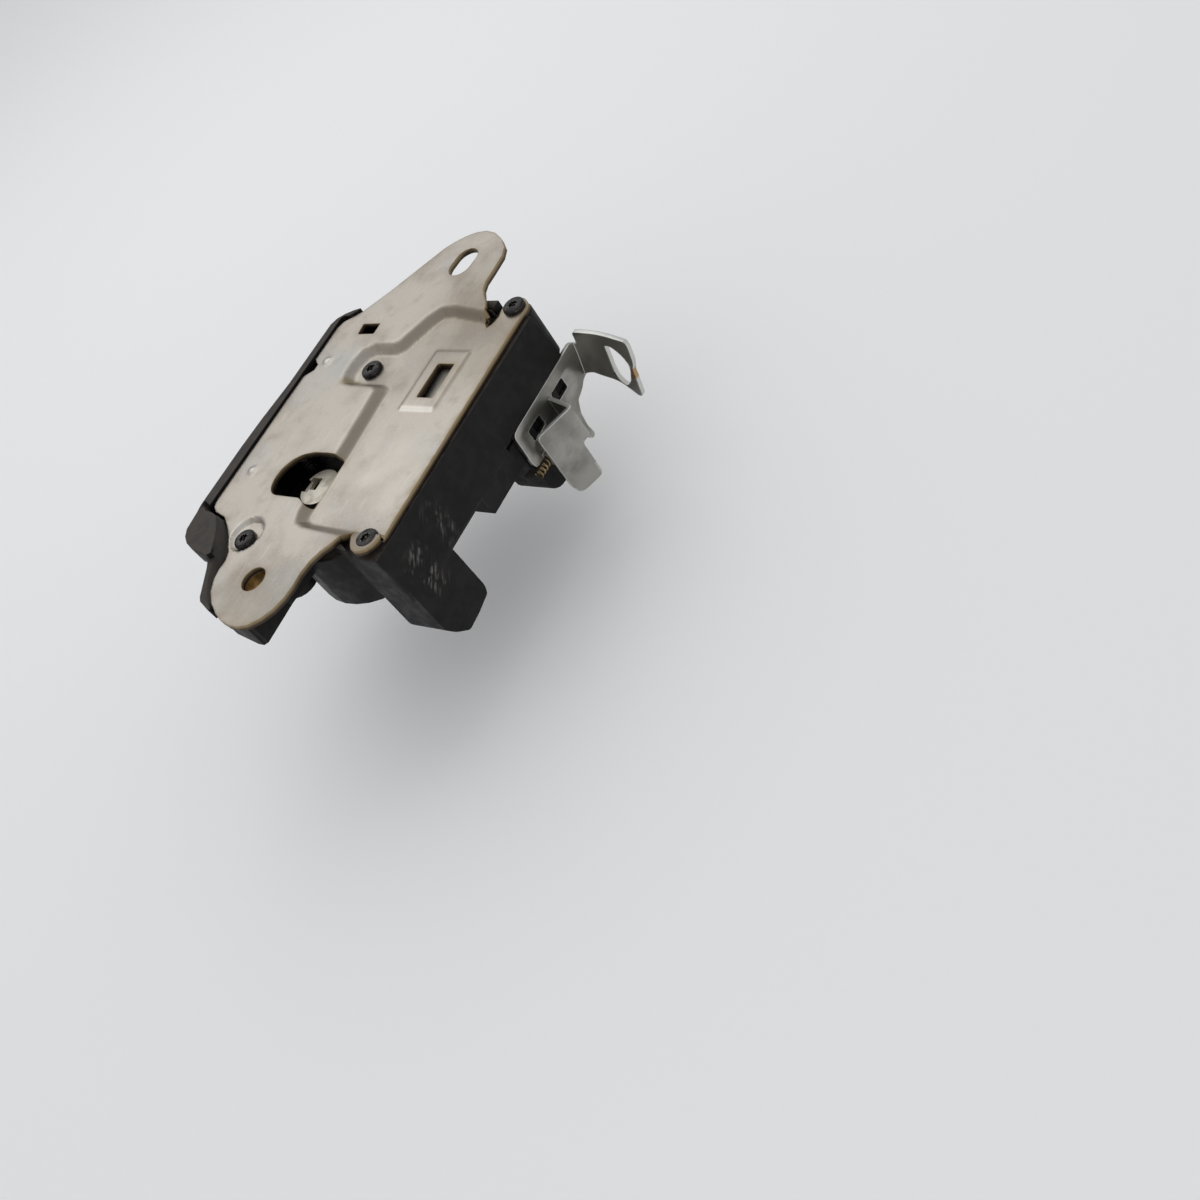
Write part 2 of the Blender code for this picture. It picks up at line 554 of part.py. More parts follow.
def housing():
    """Black moulded housing: an open tray under the plate, with bosses, pads and the connector."""
    thing = tray_outer()
    near = SIDE_TOP_Y + WALL - 0.4
    room = prism(rounded([(42.8, near), (42.8, -12.5), (40.4, -10.0), (40.4, RIM_Y - WALL),
                          (-44.4, RIM_Y - WALL), (-44.4, -3.0), (-30.0, -6.0), (-25.6, -14.0),
                          (-25.6, near)], 1.5, 2), FLOOR_TOP, 10.0)
    edge = beside(BEND_TOP, 1.3)
    sunk = prism(edge[1:-1] + [(-47.8, -24.0), (-60.0, -45.0), (60.0, -45.0), (60.0, -23.7),
                               (44.5, -23.7)], TRAY_TOP_B, 10.0)
    pocket = block((-42.4, -25.0), (-34.8, -21.4), (FLOOR_TOP, FLOOR_TOP + 2.6))
    relief = block((6.5, 60.0), (-50.0, STRIP_IN_Y + GAP), (-40.0, STRIP_TOP_Z + GAP))
    cut(thing, room, sunk, pocket, relief)
    corner = drum(SCREWS["top"][:2], 4.6, FLOOR_UNDER + 0.4, TRAY_TOP_B - 0.2, 20)
    end_post = drum((UPPER_END[0], UPPER_END[1]), 4.0, FLOOR_TOP - 0.5, TRAY_TOP_A, 16)
    switch_pad = block((33.0, 40.6), (5.4, 19.6), (FLOOR_TOP - 0.5, LAYER_UNDER - GAP))
    bosses = [drum(spot, 3.2, FLOOR_TOP - 0.5, CAP_BOSS_TOP, 16) for spot in CAP_SCREWS]
    rests = [drum(spot, 1.5, FLOOR_TOP - 0.5, -5.8, 12) for spot in SPRING_RESTS]
    add(thing, corner, end_post, switch_pad, *bosses, *rests)
    mouth = block((MOUTH_X - MOUTH_HALF, MOUTH_X + MOUTH_HALF), (MOUTH_END, 50.0),
                  (-40.0, TRAY_TOP_A - 1.5))
    x, y, seat, length = SCREWS["ear"]
    holes = [mouth, drum((x + 1.6, y), DIMPLE_R + SHEET + GAP, seat - SHEET - GAP, 5.0, 28),
             drum(LOWER_HOLE, LOWER_HOLE_R + 1.6 + GAP, -30.0, 5.0, 24),
             drum(PAWL_AXIS, 2.7 + GAP, -30.0, -20.0, 16),
             drum(CAM_AXIS, 3.0 + GAP, -30.0, -20.0, 16),
             drum(WHEEL_AXIS, 5.2, -30.0, -20.0, 20),
             block((-8.4, 0.4), (-3.2, 3.2), (-30.0, -20.0)),
             block((MOTOR_X0 - 1.2, MOTOR_X0 + MOTOR_L + 0.6),
                   (MOTOR_Y - MOTOR_W / 2 - 0.6, MOTOR_Y + MOTOR_W / 2 + 0.6), (-30.0, -20.0)),
             block((-42.6, -32.0), (SIDE_Y + 2.2, PLUG_FAR_Y - 2.2), (-60.0, -33.0))]
    for x, y, seat, length in SCREWS.values():
        if (x, y) != CLAW_AXIS:
            holes.append(drum((x, y), SCREW_R + SCREW_CLEAR, seat - length - 1.0, 5.0, 14))
    for x, y in CAP_SCREWS:
        holes.append(drum((x, y), 1.5 + GAP, -30.0, -18.0, 12))
    for path in CONTACTS.values():
        x, y, _ = path[0]
        holes.append(block((x - 0.7, x + 0.7), (y - 0.7, y + 0.7), (-34.0, FLOOR_TOP + 0.6)))
    cut(thing, *holes)
    return finish(thing, "housing", BLACK_PA)


def rear_cap():
    """Moulded cap on the tray's back: a shallow step over the worm wheel, a deep one over the motor."""
    far = CAP_FAR_Y
    shell = block((CAP_STEP_X, CAP_END_X), (CAP_SIDE_Y, far), (CAP_STEP_Z, CAP_TOP))
    deep = block((CAP_DEEP_X, CAP_END_X - 1.0), (CAP_SIDE_Y, -8.6), (CAP_DEEP_Z, CAP_TOP - 1.0))
    lobe = prism(rounded([(12.6, -40.0), (12.6, -49.6), (16.6, CAP_LOBE_Z), (28.0, CAP_LOBE_Z),
                          (33.0, -47.0), (33.0, -40.0)], 2.5, 3), CAP_SIDE_Y, -24.0, "XZ")
    add(shell, deep, lobe)
    w = CAP_WALL
    room = block((CAP_STEP_X + w, CAP_END_X - w), (CAP_SIDE_Y + w, far - w), (CAP_STEP_Z + w, 0.0))
    well = block((CAP_DEEP_X + w, CAP_END_X - 1.0 - w), (CAP_SIDE_Y + w, -8.6 - w), (CAP_DEEP_Z + w, 0.0))
    cut(shell, room, well)
    for x, y in CAP_SCREWS:
        add(shell, drum((x, y), 3.4, CAP_SEAT_Z, CAP_TOP, 16))
    for x0, x1 in WINDOWS_X:
        post = block((x0 + GAP, x0 + GAP + POST_L), (STRIP_OUT_Y + 0.2, CAP_SIDE_Y + 0.5),
                     (WINDOW_Z[0] + GAP, WINDOW_Z[1] - GAP))
        add(shell, post)
    stand = drum(WHEEL_AXIS, 4.2, CAP_STEP_Z + 0.5, WHEEL_UNDER - GAP, 18)
    cradle = [block((x, x + 1.6), (CAP_SIDE_Y + 1.0, -9.0),
                    (CAP_DEEP_Z + 1.0, MOTOR_Z - MOTOR_H / 2 - GAP)) for x in (19.0, 35.0)]
    lug = block((SPRING_X[0] - 1.3, SPRING_X[0]), (-42.0, CAP_SIDE_Y + 1.4),
                (SPRING_Z - 1.8, SPRING_Z + 1.6))
    arm = block((SPRING_X[0] - 1.0, CAP_DEEP_X + 1.0), (CAP_SIDE_Y, CAP_SIDE_Y + 1.4),
                (SPRING_Z - 1.8, SPRING_Z + 1.6))
    add(shell, stand, lug, arm, *cradle)
    cut(shell, block((BAR_X[0] - SLIDE_TRAVEL - GAP, BAR_X[1] + GAP), (-50.0, CAP_SIDE_Y + w + 1.0),
                     (BAR_Z[0] - GAP, 0.0)))
    cut(shell, drum(WHEEL_AXIS, 2.0 + GAP / 2, AXLE_FOOT_Z, 0.0, 16))
    for x, y in CAP_SCREWS:
        cut(shell, drum((x, y), 1.5 + GAP, -60.0, 0.0, 12), drum((x, y), 3.3, -60.0, CAP_SEAT_Z, 16))
    return finish(shell, "rear_cap", BLACK_PA)


def cap_screw(name, x, y):
    """One screw that holds the rear cap to a boss on the tray's floor."""
    under = CAP_SEAT_Z - 0.05
    tip = CAP_BOSS_TOP - 0.8
    profile = [(0, tip), (1.1, tip), (1.5, tip - 0.8), (1.5, under), (2.9, under), (2.9, under - 1.1),
               (2.2, under - 1.6), (0, under - 1.6)]
    one = lathe((x, y), profile, 18)
    cut(one, prism(star_outline((x, y), 1.3), under - 2.5, under - 0.7))
    return finish(one, "cap_screw_" + name, BLACK_STEEL)


def contact_strip(name, path):
    """A connector pin that carries on as a flat strip over the tray's floor."""
    half = (0.6, 0.6, 0.35)
    legs = []
    for a, b in zip(path, path[1:]):
        sides = [(min(a[i], b[i]) - half[i], max(a[i], b[i]) + half[i]) for i in range(3)]
        legs.append(block(*sides))
    return finish(add(legs[0], *legs[1:]), "contact_strip_" + name, BRASS)


def claw_outline():
    """The claw shut, about its own axis: hook above the striker, kicker and lock tooth below it."""
    seat = [(-17.0 + STRIKER_R * math.cos(math.radians(a)) + 0.4,
             6.0 + (STRIKER_R + 0.5) * math.sin(math.radians(a))) for a in range(90, -91, -20)]
    return ([(5.4, 9.8), (1.6, 15.4), (-8.0, 16.8), (-18.4, 16.0), (-21.6, 14.4), (-22.3, 11.4)]
            + seat
            + [(-21.4, 1.0), (-22.0, 0.2), (-22.0, -3.0), (-27.0, -3.0), (-27.1, -4.2),
               (-26.6, -6.2), (-18.0, -8.8), (-7.0, -9.4), (2.0, -9.4), (9.0, -4.0), (10.0, 3.0)])


def claw():
    """Steel claw cut from thick plate, stood open: it swings about the bush in the tray."""
    shape = prism([(CLAW_AXIS[0] + x, CLAW_AXIS[1] + y) for x, y in rounded(claw_outline(), 1.0, 2)],
                  LAYER_UNDER, LAYER_TOP)
    turned(shape, -CLAW_SHUT, CLAW_AXIS)
    ramp = [(CLAW_AXIS[0], CLAW_AXIS[1])]
    for a in range(12, -69, -8):
        r = HUB_RAMP_R + SWITCH_TRAVEL * a / CLAW_SHUT
        ramp.append((CLAW_AXIS[0] + r * math.cos(math.radians(a)),
                     CLAW_AXIS[1] + r * math.sin(math.radians(a))))
    add(shape, prism(ramp, LAYER_UNDER, LAYER_TOP))
    anchor = drum(CLAW_SPRING_HOLE, 0.9, LAYER_TOP - 3.0, LAYER_TOP + 1.0, 10)
    cut(shape, drum(CLAW_AXIS, BUSH_R + GAP, -30, 0, 28), anchor)
    axis = (CLAW_AXIS[0], CLAW_AXIS[1], (LAYER_TOP + LAYER_UNDER) / 2)
    return finish(shape, "claw", DARK_STEEL, axis)


def claw_bush():
    """Steel bush the claw turns on, clamped between the plate and the floor by its screw."""
    shape = drum(CLAW_AXIS, BUSH_R, FLOOR_TOP + 0.05, B_UNDER - 0.05, 28)
    add(shape, drum(CLAW_AXIS, BUSH_R + 2.0, FLOOR_TOP + 0.05, LAYER_UNDER - GAP, 28))
    cut(shape, drum(CLAW_AXIS, SCREW_R + SCREW_CLEAR, -30, 0, 16))
    return finish(shape, "claw_bush", BRIGHT_STEEL)


def pawl():
    """Steel pawl: eye, nose that holds the claw's tooth, tail with a stud, and the key cam's arm."""
    body = prism([(-17.6, 31.5), (-11.0, 27.0), (-8.8, 22.0), (-8.6, 16.0), (-8.6, 12.5), (-8.5, 9.15),
                  (-11.8, 9.6), (-11.6, 3.4), (-8.0, 1.0), (-10.0, -3.3), (-13.2, -1.0), (-15.4, 8.0),
                  (-16.4, 15.1), (-24.5, 15.1), (-24.8, 18.6), (-18.2, 20.4)], LAYER_UNDER, LAYER_TOP)
    add(body, drum(PAWL_AXIS, PAWL_EYE_R, LAYER_UNDER, LAYER_TOP, 28),
        drum(STUD, 3.5, LAYER_UNDER, LAYER_TOP, 20),
        drum(STUD, STUD_R, STUD_UNDER, LAYER_UNDER + 0.5, 16))
    cut(body, drum(PAWL_AXIS, PAWL_PIN_R + GAP, -30, 0, 24),
        drum(PAWL_SPRING_HOLE, 0.7, LAYER_TOP - 3.0, LAYER_TOP + 1.0, 10))
    axis = (PAWL_AXIS[0], PAWL_AXIS[1], (LAYER_TOP + LAYER_UNDER) / 2)
    return finish(body, "pawl", DARK_STEEL, axis)


def pawl_pin():
    """Shouldered pin from floor to plate that the pawl turns on."""
    shape = drum(PAWL_AXIS, PAWL_PIN_R, FLOOR_TOP + 0.05, TRAY_TOP_A + 0.2, 24)
    add(shape, drum(PAWL_AXIS, PAWL_PIN_R + 1.8, FLOOR_TOP + 0.05, LAYER_UNDER - GAP, 24),
        drum(PAWL_AXIS, 2.7, FLOOR_UNDER, FLOOR_TOP + 0.5, 16))
    return finish(shape, "pawl_pin", BRIGHT_STEEL)


def torsion_spring(name, axis, foot, low, pitch, last, leg, wire_r):
    """A torsion spring round an axis, from its foot in a moving piece to a straight leg."""
    radius = math.hypot(foot[0] - axis[0], foot[1] - axis[1])
    first = math.degrees(math.atan2(foot[1] - axis[1], foot[0] - axis[0]))
    turns = (last - first) / 360.0
    points = torsion_points(axis, radius, low, pitch, turns, first, leg)
    wire = [(foot[0], foot[1], LAYER_TOP - 1.6)] + points
    return finish(coil(wire, wire_r), name, SPRING_STEEL, smooth=True)


def springs():
    """The claw's spring throws it open; the pawl's spring presses it towards the claw."""
    torsion_spring("claw_spring", CLAW_AXIS, CLAW_SPRING_HOLE, -10.9, 1.55, 1080.0, 24.0, 0.65)
    torsion_spring("pawl_spring", PAWL_AXIS, PAWL_SPRING_HOLE, -11.2, 1.3, 810.0, 13.5, 0.5)


def striker_bumper():
    """Rubber block at the mouth's end that the striker comes to rest on."""
    shape = block((MOUTH_X - 5.5, MOUTH_X + 5.0), (7.6, MOUTH_END - GAP),
                  (FLOOR_TOP + 0.05, LAYER_UNDER - 0.6))
    return finish(shape, "striker_bumper", RUBBER)


def key_cam():
    """Die-cast cam the key's tail turns: slotted disc under the plate, post and arm in the tray."""
    shape = drum(CAM_AXIS, CAM_DISC_R, CAM_TOP - 2.6, CAM_TOP, 36)
    post = drum(CAM_AXIS, 5.0, FLOOR_TOP + GAP, CAM_TOP - 2.0, 24)
    spigot = drum(CAM_AXIS, 3.0, FLOOR_UNDER, FLOOR_TOP + 1.0, 16)
    arm = prism(slot_outline((CAM_AXIS[0] + CAM_ARM / 2 - 1.1, CAM_AXIS[1]), CAM_ARM + 2.2, 4.4, 0.0, 7),
                LAYER_UNDER, LAYER_TOP)
    turned(arm, CAM_REST, CAM_AXIS)
    add(shape, post, spigot, arm)
    x, y = CAM_AXIS
    square = prism([(x - 1.3, y + 0.9), (x + 3.3, y + 0.9), (x + 3.3, y + 5.5), (x - 1.3, y + 5.5)],
                   CAM_TOP - 5.0, 0.0)
    slot = prism([(x - 2.3, y + 4.0), (x + 2.3, y + 4.0), (x + 2.3, y + 9.0), (x - 2.3, y + 9.0)],
                 CAM_TOP - 1.2, 0.0)
    cut(shape, square, slot)
    axis = (CAM_AXIS[0], CAM_AXIS[1], CAM_TOP)
    return finish(shape, "key_cam", ZINC_CAST, axis)


def motor():
    """Flat-sided motor lying along the latch, with its front boss."""
    y0, y1 = MOTOR_Y - MOTOR_W / 2, MOTOR_Y + MOTOR_W / 2
    z0, z1 = MOTOR_Z - MOTOR_H / 2, MOTOR_Z + MOTOR_H / 2
    shape = prism(rounded([(y0, z0), (y1, z0), (y1, z1), (y0, z1)], 5.0, 4),
                  MOTOR_X0, MOTOR_X0 + MOTOR_L, "YZ")
    add(shape, drum((MOTOR_Y, MOTOR_Z), 3.0, MOTOR_X0 - 1.4, MOTOR_X0 + 1.0, 20, "YZ"))
    cut(shape, drum((MOTOR_Y, MOTOR_Z), 1.0 + GAP, MOTOR_X0 - 5.0, MOTOR_X0 + 8.0, 16, "YZ"))
    return finish(shape, "motor", BRIGHT_STEEL)


def motor_pad():
    """Rubber pad that holds the motor off the cap's bottom."""
    shape = block((21.4, 34.2), (-34.0, -12.6),
                  (CAP_DEEP_Z + CAP_WALL + 0.05, MOTOR_Z - MOTOR_H / 2 - 0.05))
    return finish(shape, "motor_pad", RUBBER)


def motor_worm():
    """Worm on the motor's shaft; the round core stands in for its thread."""
    y, z = MOTOR_Y, MOTOR_Z
    shape = drum((y, z), WORM_CORE_R, -4.0, 11.0, 24, "YZ")
    add(shape, drum((y, z), 1.0, -5.6, MOTOR_X0 + 7.0, 16, "YZ"))
    return finish(shape, "motor_worm", BRASS, (0.0, y, z))


def worm_wheel():
    """Moulded wheel the worm drives; its hub passes the floor and its arm pushes the pawl's tail."""
    outline = []
    for i in range(WHEEL_TEETH):
        for share, r in ((-0.28, WHEEL_ROOT_R), (-0.12, WHEEL_TIP_R),
                         (0.12, WHEEL_TIP_R), (0.28, WHEEL_ROOT_R)):
            a = 2 * math.pi * (i + share) / WHEEL_TEETH
            outline.append((WHEEL_AXIS[0] + r * math.cos(a), WHEEL_AXIS[1] + r * math.sin(a)))
    shape = prism(outline, WHEEL_UNDER, WHEEL_TOP)
    hub = drum(WHEEL_AXIS, 4.4, WHEEL_UNDER, LAYER_TOP, 24)
    away = math.hypot(WHEEL_AXIS[0] - STUD[0], WHEEL_AXIS[1] - STUD[1]) - 3.5 - FREE
    arm = prism(slot_outline((WHEEL_AXIS[0] + away / 2 - 1.0, WHEEL_AXIS[1]), away + 2.0, 4.0, 0.0, 7),
                LAYER_UNDER + 0.5, LAYER_TOP)
    turned(arm, ARM_REST, WHEEL_AXIS)
    add(shape, hub, arm)
    cut(shape, drum(WHEEL_AXIS, 2.0 + GAP, -60, 0, 18))
    axis = (WHEEL_AXIS[0], WHEEL_AXIS[1], (WHEEL_TOP + WHEEL_UNDER) / 2)
    return finish(shape, "worm_wheel", GREEN_POM, axis)


def wheel_axle():
    """Steel axle of the worm wheel, standing in the cap's socket."""
    low = AXLE_FOOT_Z + 0.05
    top = LAYER_TOP + GAP
    shape = lathe(WHEEL_AXIS, [(0, low), (2.0, low), (2.0, top), (3.4, top), (3.4, top + 0.9),
                               (0, top + 0.9)], 18)
    return finish(shape, "wheel_axle", BRIGHT_STEEL)


def beside(line, distance):
    """The open line moved sideways to its right, with mitred corners."""
    out = []
    for i, spot in enumerate(line):
        here = Vector(spot)
        sides = []
        for a, b in ((i - 1, i), (i, i + 1)):
            if a >= 0 and b < len(line):
                d = (Vector(line[b]) - Vector(line[a])).normalized()
                sides.append(Vector((d.y, -d.x)))
        mean = (sides[0] + sides[-1]).normalized()
        out.append(tuple(here + mean * (distance / max(mean.dot(sides[0]), 0.5))))
    return out


def folded(line, thickness, low, high, plane="XY"):
    """Sheet folded along a line drawn in plan, lying to the line's right."""
    return prism(line + list(reversed(beside(line, thickness))), low, high, plane)


def strap():
    """The slider's outturned end with its large opening, curved as it leaves the strip."""
    line = [(54.1, -17.0), (53.6, -24.0), (52.6, -29.7), (50.9, -34.3), (49.6, -39.2), (48.7, -44.7)]
    sheet = folded(line, STRIP_T, -62.0, STRIP_IN_Y, "XZ")
    outline = rounded([(-37.0, -25.2), (-41.4, -24.6), (-42.2, -18.8), (-53.7, -20.9), (-60.6, -24.2),
                       (-61.2, -31.0), (-60.8, -41.6), (-58.4, -43.9), (-54.8, -41.0), (-51.2, -38.2),
                       (-46.6, -36.4), (-37.0, -36.2)], 1.0, 2)
    hole = rounded([(-50.2, -25.4), (-56.4, -27.6), (-58.4, -31.0), (-57.8, -38.4), (-53.4, -36.4),
                    (-50.9, -32.4)], 1.6, 2)
    common(sheet, prism(outline, 40.0, 60.0, "YZ"))
    return cut(sheet, prism(hole, 30.0, 70.0, "YZ"))


def release_slider():
    """Zinc-plated sheet slider: windowed strip, outturned strap, folded tab and the bar into the cap."""
    strip = prism(rounded([(11.2, -23.2), (12.4, -22.6), (47.0, -22.6), (52.6, -23.0), (53.2, -25.5),
                           (51.2, -36.6), (45.1, -37.0), (41.6, -38.2), (38.9, -41.2), (38.3, -46.9),
                           (39.0, -51.0), (37.6, -52.8), (36.2, -50.2), (35.4, -46.0), (31.6, -38.4),
                           (11.2, -37.8)], 0.9, 2), STRIP_OUT_Y, STRIP_IN_Y, "XZ")
    for x0, x1 in WINDOWS_X:
        z0, z1 = WINDOW_Z
        cut(strip, prism(rounded([(x0, z0), (x1, z0), (x1, z1), (x0, z1)], 0.7, 2), -45.0, -30.0, "XZ"))
    fold = [(16.2, -45.1), (29.1, -50.9), (32.6, STRIP_OUT_Y + 0.6)]
    tab = folded(list(reversed(fold)), STRIP_T, -55.4, -27.2)
    relief = block((24.2, 40.0), (-60.0, -40.5), (-60.0, -40.4))
    lower = block((28.0, 40.0), (-60.0, -30.0), (-60.0, -37.6))
    low_corner = prism([(10.0, -57.0), (17.6, -57.0), (15.0, -53.2), (10.0, -52.0)], -60.0, -40.9, "XZ")
    high_corner = prism([(10.0, -25.0), (18.0, -25.0), (15.4, -29.4), (10.0, -30.6)], -60.0, -40.9, "XZ")
    cut(tab, relief, lower, low_corner, high_corner)
    bar = block(BAR_X, (STRIP_IN_Y - 0.7, BAR_END_Y), BAR_Z)
    reach = block((FINGER_X[0], BAR_X[1]), (-2.5, BAR_END_Y), BAR_Z)
    finger = block(FINGER_X, (-2.5, BAR_END_Y), (BAR_Z[0], -18.95))
    seat = block((SPRING_X[1], SPRING_X[1] + STRIP_T), (-42.0, STRIP_IN_Y), (SPRING_Z - 1.7, -37.0))
    add(strip, strap(), tab, bar, reach, finger, seat)
    return finish(strip, "release_slider", ZINC_SHEET)


def slider_spring():
    """Compression spring between the cap's lug and the slider's turned-out seat."""
    wire_r = 0.28
    x0, x1 = SPRING_X[0] + wire_r + 0.05, SPRING_X[1] - wire_r - 0.05
    wire = []
    steps = SPRING_TURNS * 12
    for i in range(steps + 1):
        a = 2 * math.pi * SPRING_TURNS * i / steps
        wire.append((x0 + (x1 - x0) * i / steps, SPRING_Y + SPRING_R * math.sin(a),
                     SPRING_Z + SPRING_R * math.cos(a)))
    return finish(coil(wire, wire_r), "slider_spring", YELLOW_STEEL, smooth=True)


def switch_body():
    """Sealed switch that reports whether the claw is open."""
    x0 = CLAW_AXIS[0] + HUB_RAMP_R + FREE + 2.4
    shape = block((x0, x0 + 6.5), (6.1, 18.9), (LAYER_UNDER - GAP + 0.05, LAYER_TOP))
    y = CLAW_AXIS[1]
    cut(shape, block((x0 - 1.0, x0 + 4.0), (y - 1.5, y + 1.5), (-17.3, -13.7)))
    return finish(shape, "switch_body", BLACK_PA)


def switch_plunger():
    """Plunger the claw's hub holds in while the claw is open."""
    x0 = CLAW_AXIS[0] + HUB_RAMP_R + FREE
    y = CLAW_AXIS[1]
    shape = block((x0, x0 + 2.4 + 3.6), (y - 1.2, y + 1.2), (-17.0, -14.0))
    return finish(shape, "switch_plunger", RED_POM, (x0, y, -15.5))


def ear_sleeve():
    """Yellow-passivated sleeve that takes the bolt's clamping load behind the lower ear."""
    shape = drum(LOWER_HOLE, LOWER_HOLE_R + 1.6, EAR_UNDER, TRAY_TOP_A + 0.25, 28)
    cut(shape, drum(LOWER_HOLE, LOWER_HOLE_R, -30, 5, 24))
    return finish(shape, "ear_sleeve", YELLOW_STEEL)


def build_all():
    mounting_plate()
    window_backing()
    for name, values in SCREWS.items():
        plate_screw(name, *values)
    housing()
    rear_cap()
    for name, spot in zip("abc", CAP_SCREWS):
        cap_screw(name, *spot)
    for name, path in CONTACTS.items():
        contact_strip(name, path)
    claw()
    claw_bush()
    pawl()
    pawl_pin()
    springs()
    striker_bumper()
    key_cam()
    motor()
    motor_pad()
    motor_worm()
    worm_wheel()
    wheel_axle()
    release_slider()
    slider_spring()
    switch_body()
    switch_plunger()
    ear_sleeve()


clean_scene()
LATCH = group("trunk_latch")
STEEL = material("zinc-plated steel", (0.52, 0.47, 0.42), 1.0, 0.42)
ZINC_SHEET = material("zinc-plated sheet steel", (0.35, 0.36, 0.34), 1.0, 0.4)
ZINC_CAST = material("die-cast zinc", (0.58, 0.55, 0.46), 1.0, 0.5)
BLACK_STEEL = material("black passivated steel", (0.03, 0.03, 0.032), 1.0, 0.45)
BRIGHT_STEEL = material("bright steel", (0.55, 0.55, 0.56), 1.0, 0.3)
DARK_STEEL = material("phosphated steel", (0.12, 0.12, 0.12), 1.0, 0.5)
SPRING_STEEL = material("spring steel", (0.25, 0.25, 0.26), 1.0, 0.35)
YELLOW_STEEL = material("yellow passivated steel", (0.45, 0.30, 0.12), 1.0, 0.4)
BRASS = material("brass", (0.60, 0.42, 0.16), 1.0, 0.35)
BLACK_PA = material("black moulded PA", (0.013, 0.012, 0.011), 0.0, 0.5)
GREEN_POM = material("natural moulded POM", (0.70, 0.68, 0.62), 0.0, 0.4)
RED_POM = material("red moulded POM", (0.45, 0.03, 0.02), 0.0, 0.4)
RUBBER = material("black rubber", (0.02, 0.02, 0.02), 0.0, 0.8)
build_all()
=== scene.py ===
# %% [markdown]
# # Trunk latch: from solids to a finished picture
# A trunk latch is a pressed steel plate with two ears, screwed on a black moulded tray that
# holds a claw, a pawl and a small motor drive. The solids are loaded first and stay where
# they are; every later step gives one piece its real surface or finer shape.

# %% Load the solids
import math

import bmesh
import bpy
import numpy as np
from mathutils import Matrix, Vector


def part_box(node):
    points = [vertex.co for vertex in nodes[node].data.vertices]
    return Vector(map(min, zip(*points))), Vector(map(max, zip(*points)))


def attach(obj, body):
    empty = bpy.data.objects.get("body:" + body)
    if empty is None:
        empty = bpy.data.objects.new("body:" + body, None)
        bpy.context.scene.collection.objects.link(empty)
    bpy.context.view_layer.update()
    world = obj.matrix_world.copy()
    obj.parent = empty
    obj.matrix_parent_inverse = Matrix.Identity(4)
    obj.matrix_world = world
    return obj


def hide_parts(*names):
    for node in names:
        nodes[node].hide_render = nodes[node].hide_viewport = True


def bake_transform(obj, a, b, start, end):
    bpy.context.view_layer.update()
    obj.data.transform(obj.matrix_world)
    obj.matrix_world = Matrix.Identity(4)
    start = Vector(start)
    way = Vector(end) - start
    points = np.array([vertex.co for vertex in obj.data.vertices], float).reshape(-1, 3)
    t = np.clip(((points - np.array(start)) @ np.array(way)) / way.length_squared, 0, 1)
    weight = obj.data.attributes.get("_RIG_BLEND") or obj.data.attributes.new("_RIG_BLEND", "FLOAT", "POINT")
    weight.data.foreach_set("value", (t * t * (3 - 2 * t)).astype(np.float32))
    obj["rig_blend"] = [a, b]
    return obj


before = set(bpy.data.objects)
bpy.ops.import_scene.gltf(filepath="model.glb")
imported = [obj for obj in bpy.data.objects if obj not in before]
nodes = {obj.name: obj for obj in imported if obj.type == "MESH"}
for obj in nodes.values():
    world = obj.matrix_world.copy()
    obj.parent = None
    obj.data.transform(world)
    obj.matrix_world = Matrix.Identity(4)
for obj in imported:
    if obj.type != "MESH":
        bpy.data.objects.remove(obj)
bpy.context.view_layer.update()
MM = 0.001

# %% [markdown]
# ## The camera
# The photograph was taken close, from beside the lower ear, looking down on the plate. The
# camera's place and turn were worked out from the plate's outline and its round holes, so the
# three directions below are simply written into its matrix.

# %% Camera
RIGHT = Vector((0.43783, -0.77667, -0.45287))
UP = Vector((0.80449, 0.11358, 0.58300))
FORWARD = Vector((0.40136, 0.61958, -0.67455))
EYE = Vector((-0.1953, -0.3416, 0.2358))
lens = bpy.data.cameras.new("camera")
lens.lens = 43.5
lens.sensor_width = 36.0
lens.clip_start = 0.01
camera = bpy.data.objects.new("camera", lens)
turn = Matrix((RIGHT, UP, -FORWARD)).transposed().to_4x4()
camera.matrix_world = Matrix.Translation(EYE) @ turn
bpy.context.scene.collection.objects.link(camera)
bpy.context.scene.camera = camera
print("camera", lens.lens, "mm, looking along", tuple(round(v, 2) for v in FORWARD))

# %% [markdown]
# ## Light and floor
# The object was cut out on white, so the floor is pale and matt and the light is broad and
# soft: one large panel over the plate, a weaker one on the side wall's side, and a bright
# world to fill the dark plastic. Standard colour keeps the hex colours as they are written.

# %% Light and floor
scene = bpy.context.scene
scene.view_settings.view_transform = "Standard"


def linear(code):
    """The linear colour of an sRGB hex code."""
    parts = [int(code[i:i + 2], 16) / 255 for i in (1, 3, 5)]
    return tuple(p / 12.92 if p <= 0.04045 else ((p + 0.055) / 1.055) ** 2.4 for p in parts)


def panel(name, place, aim, size, watts):
    """A square softbox at a place, turned to what it lights."""
    light = bpy.data.lights.new(name, "AREA")
    light.size = size
    light.energy = watts
    lamp = bpy.data.objects.new(name, light)
    lamp.location = place
    lamp.rotation_euler = (Vector(aim) - Vector(place)).to_track_quat("-Z", "Y").to_euler()
    scene.collection.objects.link(lamp)


panel("over_plate", (0.25, 0.30, 0.60), (0.0, 0.0, 0.0), 0.80, 1.3)
panel("side_wall", (-0.45, -0.55, 0.10), (0.0, 0.0, -0.02), 0.40, 0.3)
world = bpy.data.worlds.new("studio")
world.use_nodes = True
sky = world.node_tree.nodes["Background"]
sky.inputs["Color"].default_value = (*linear("#F4F5F7"), 1.0)
sky.inputs["Strength"].default_value = 0.68
scene.world = world

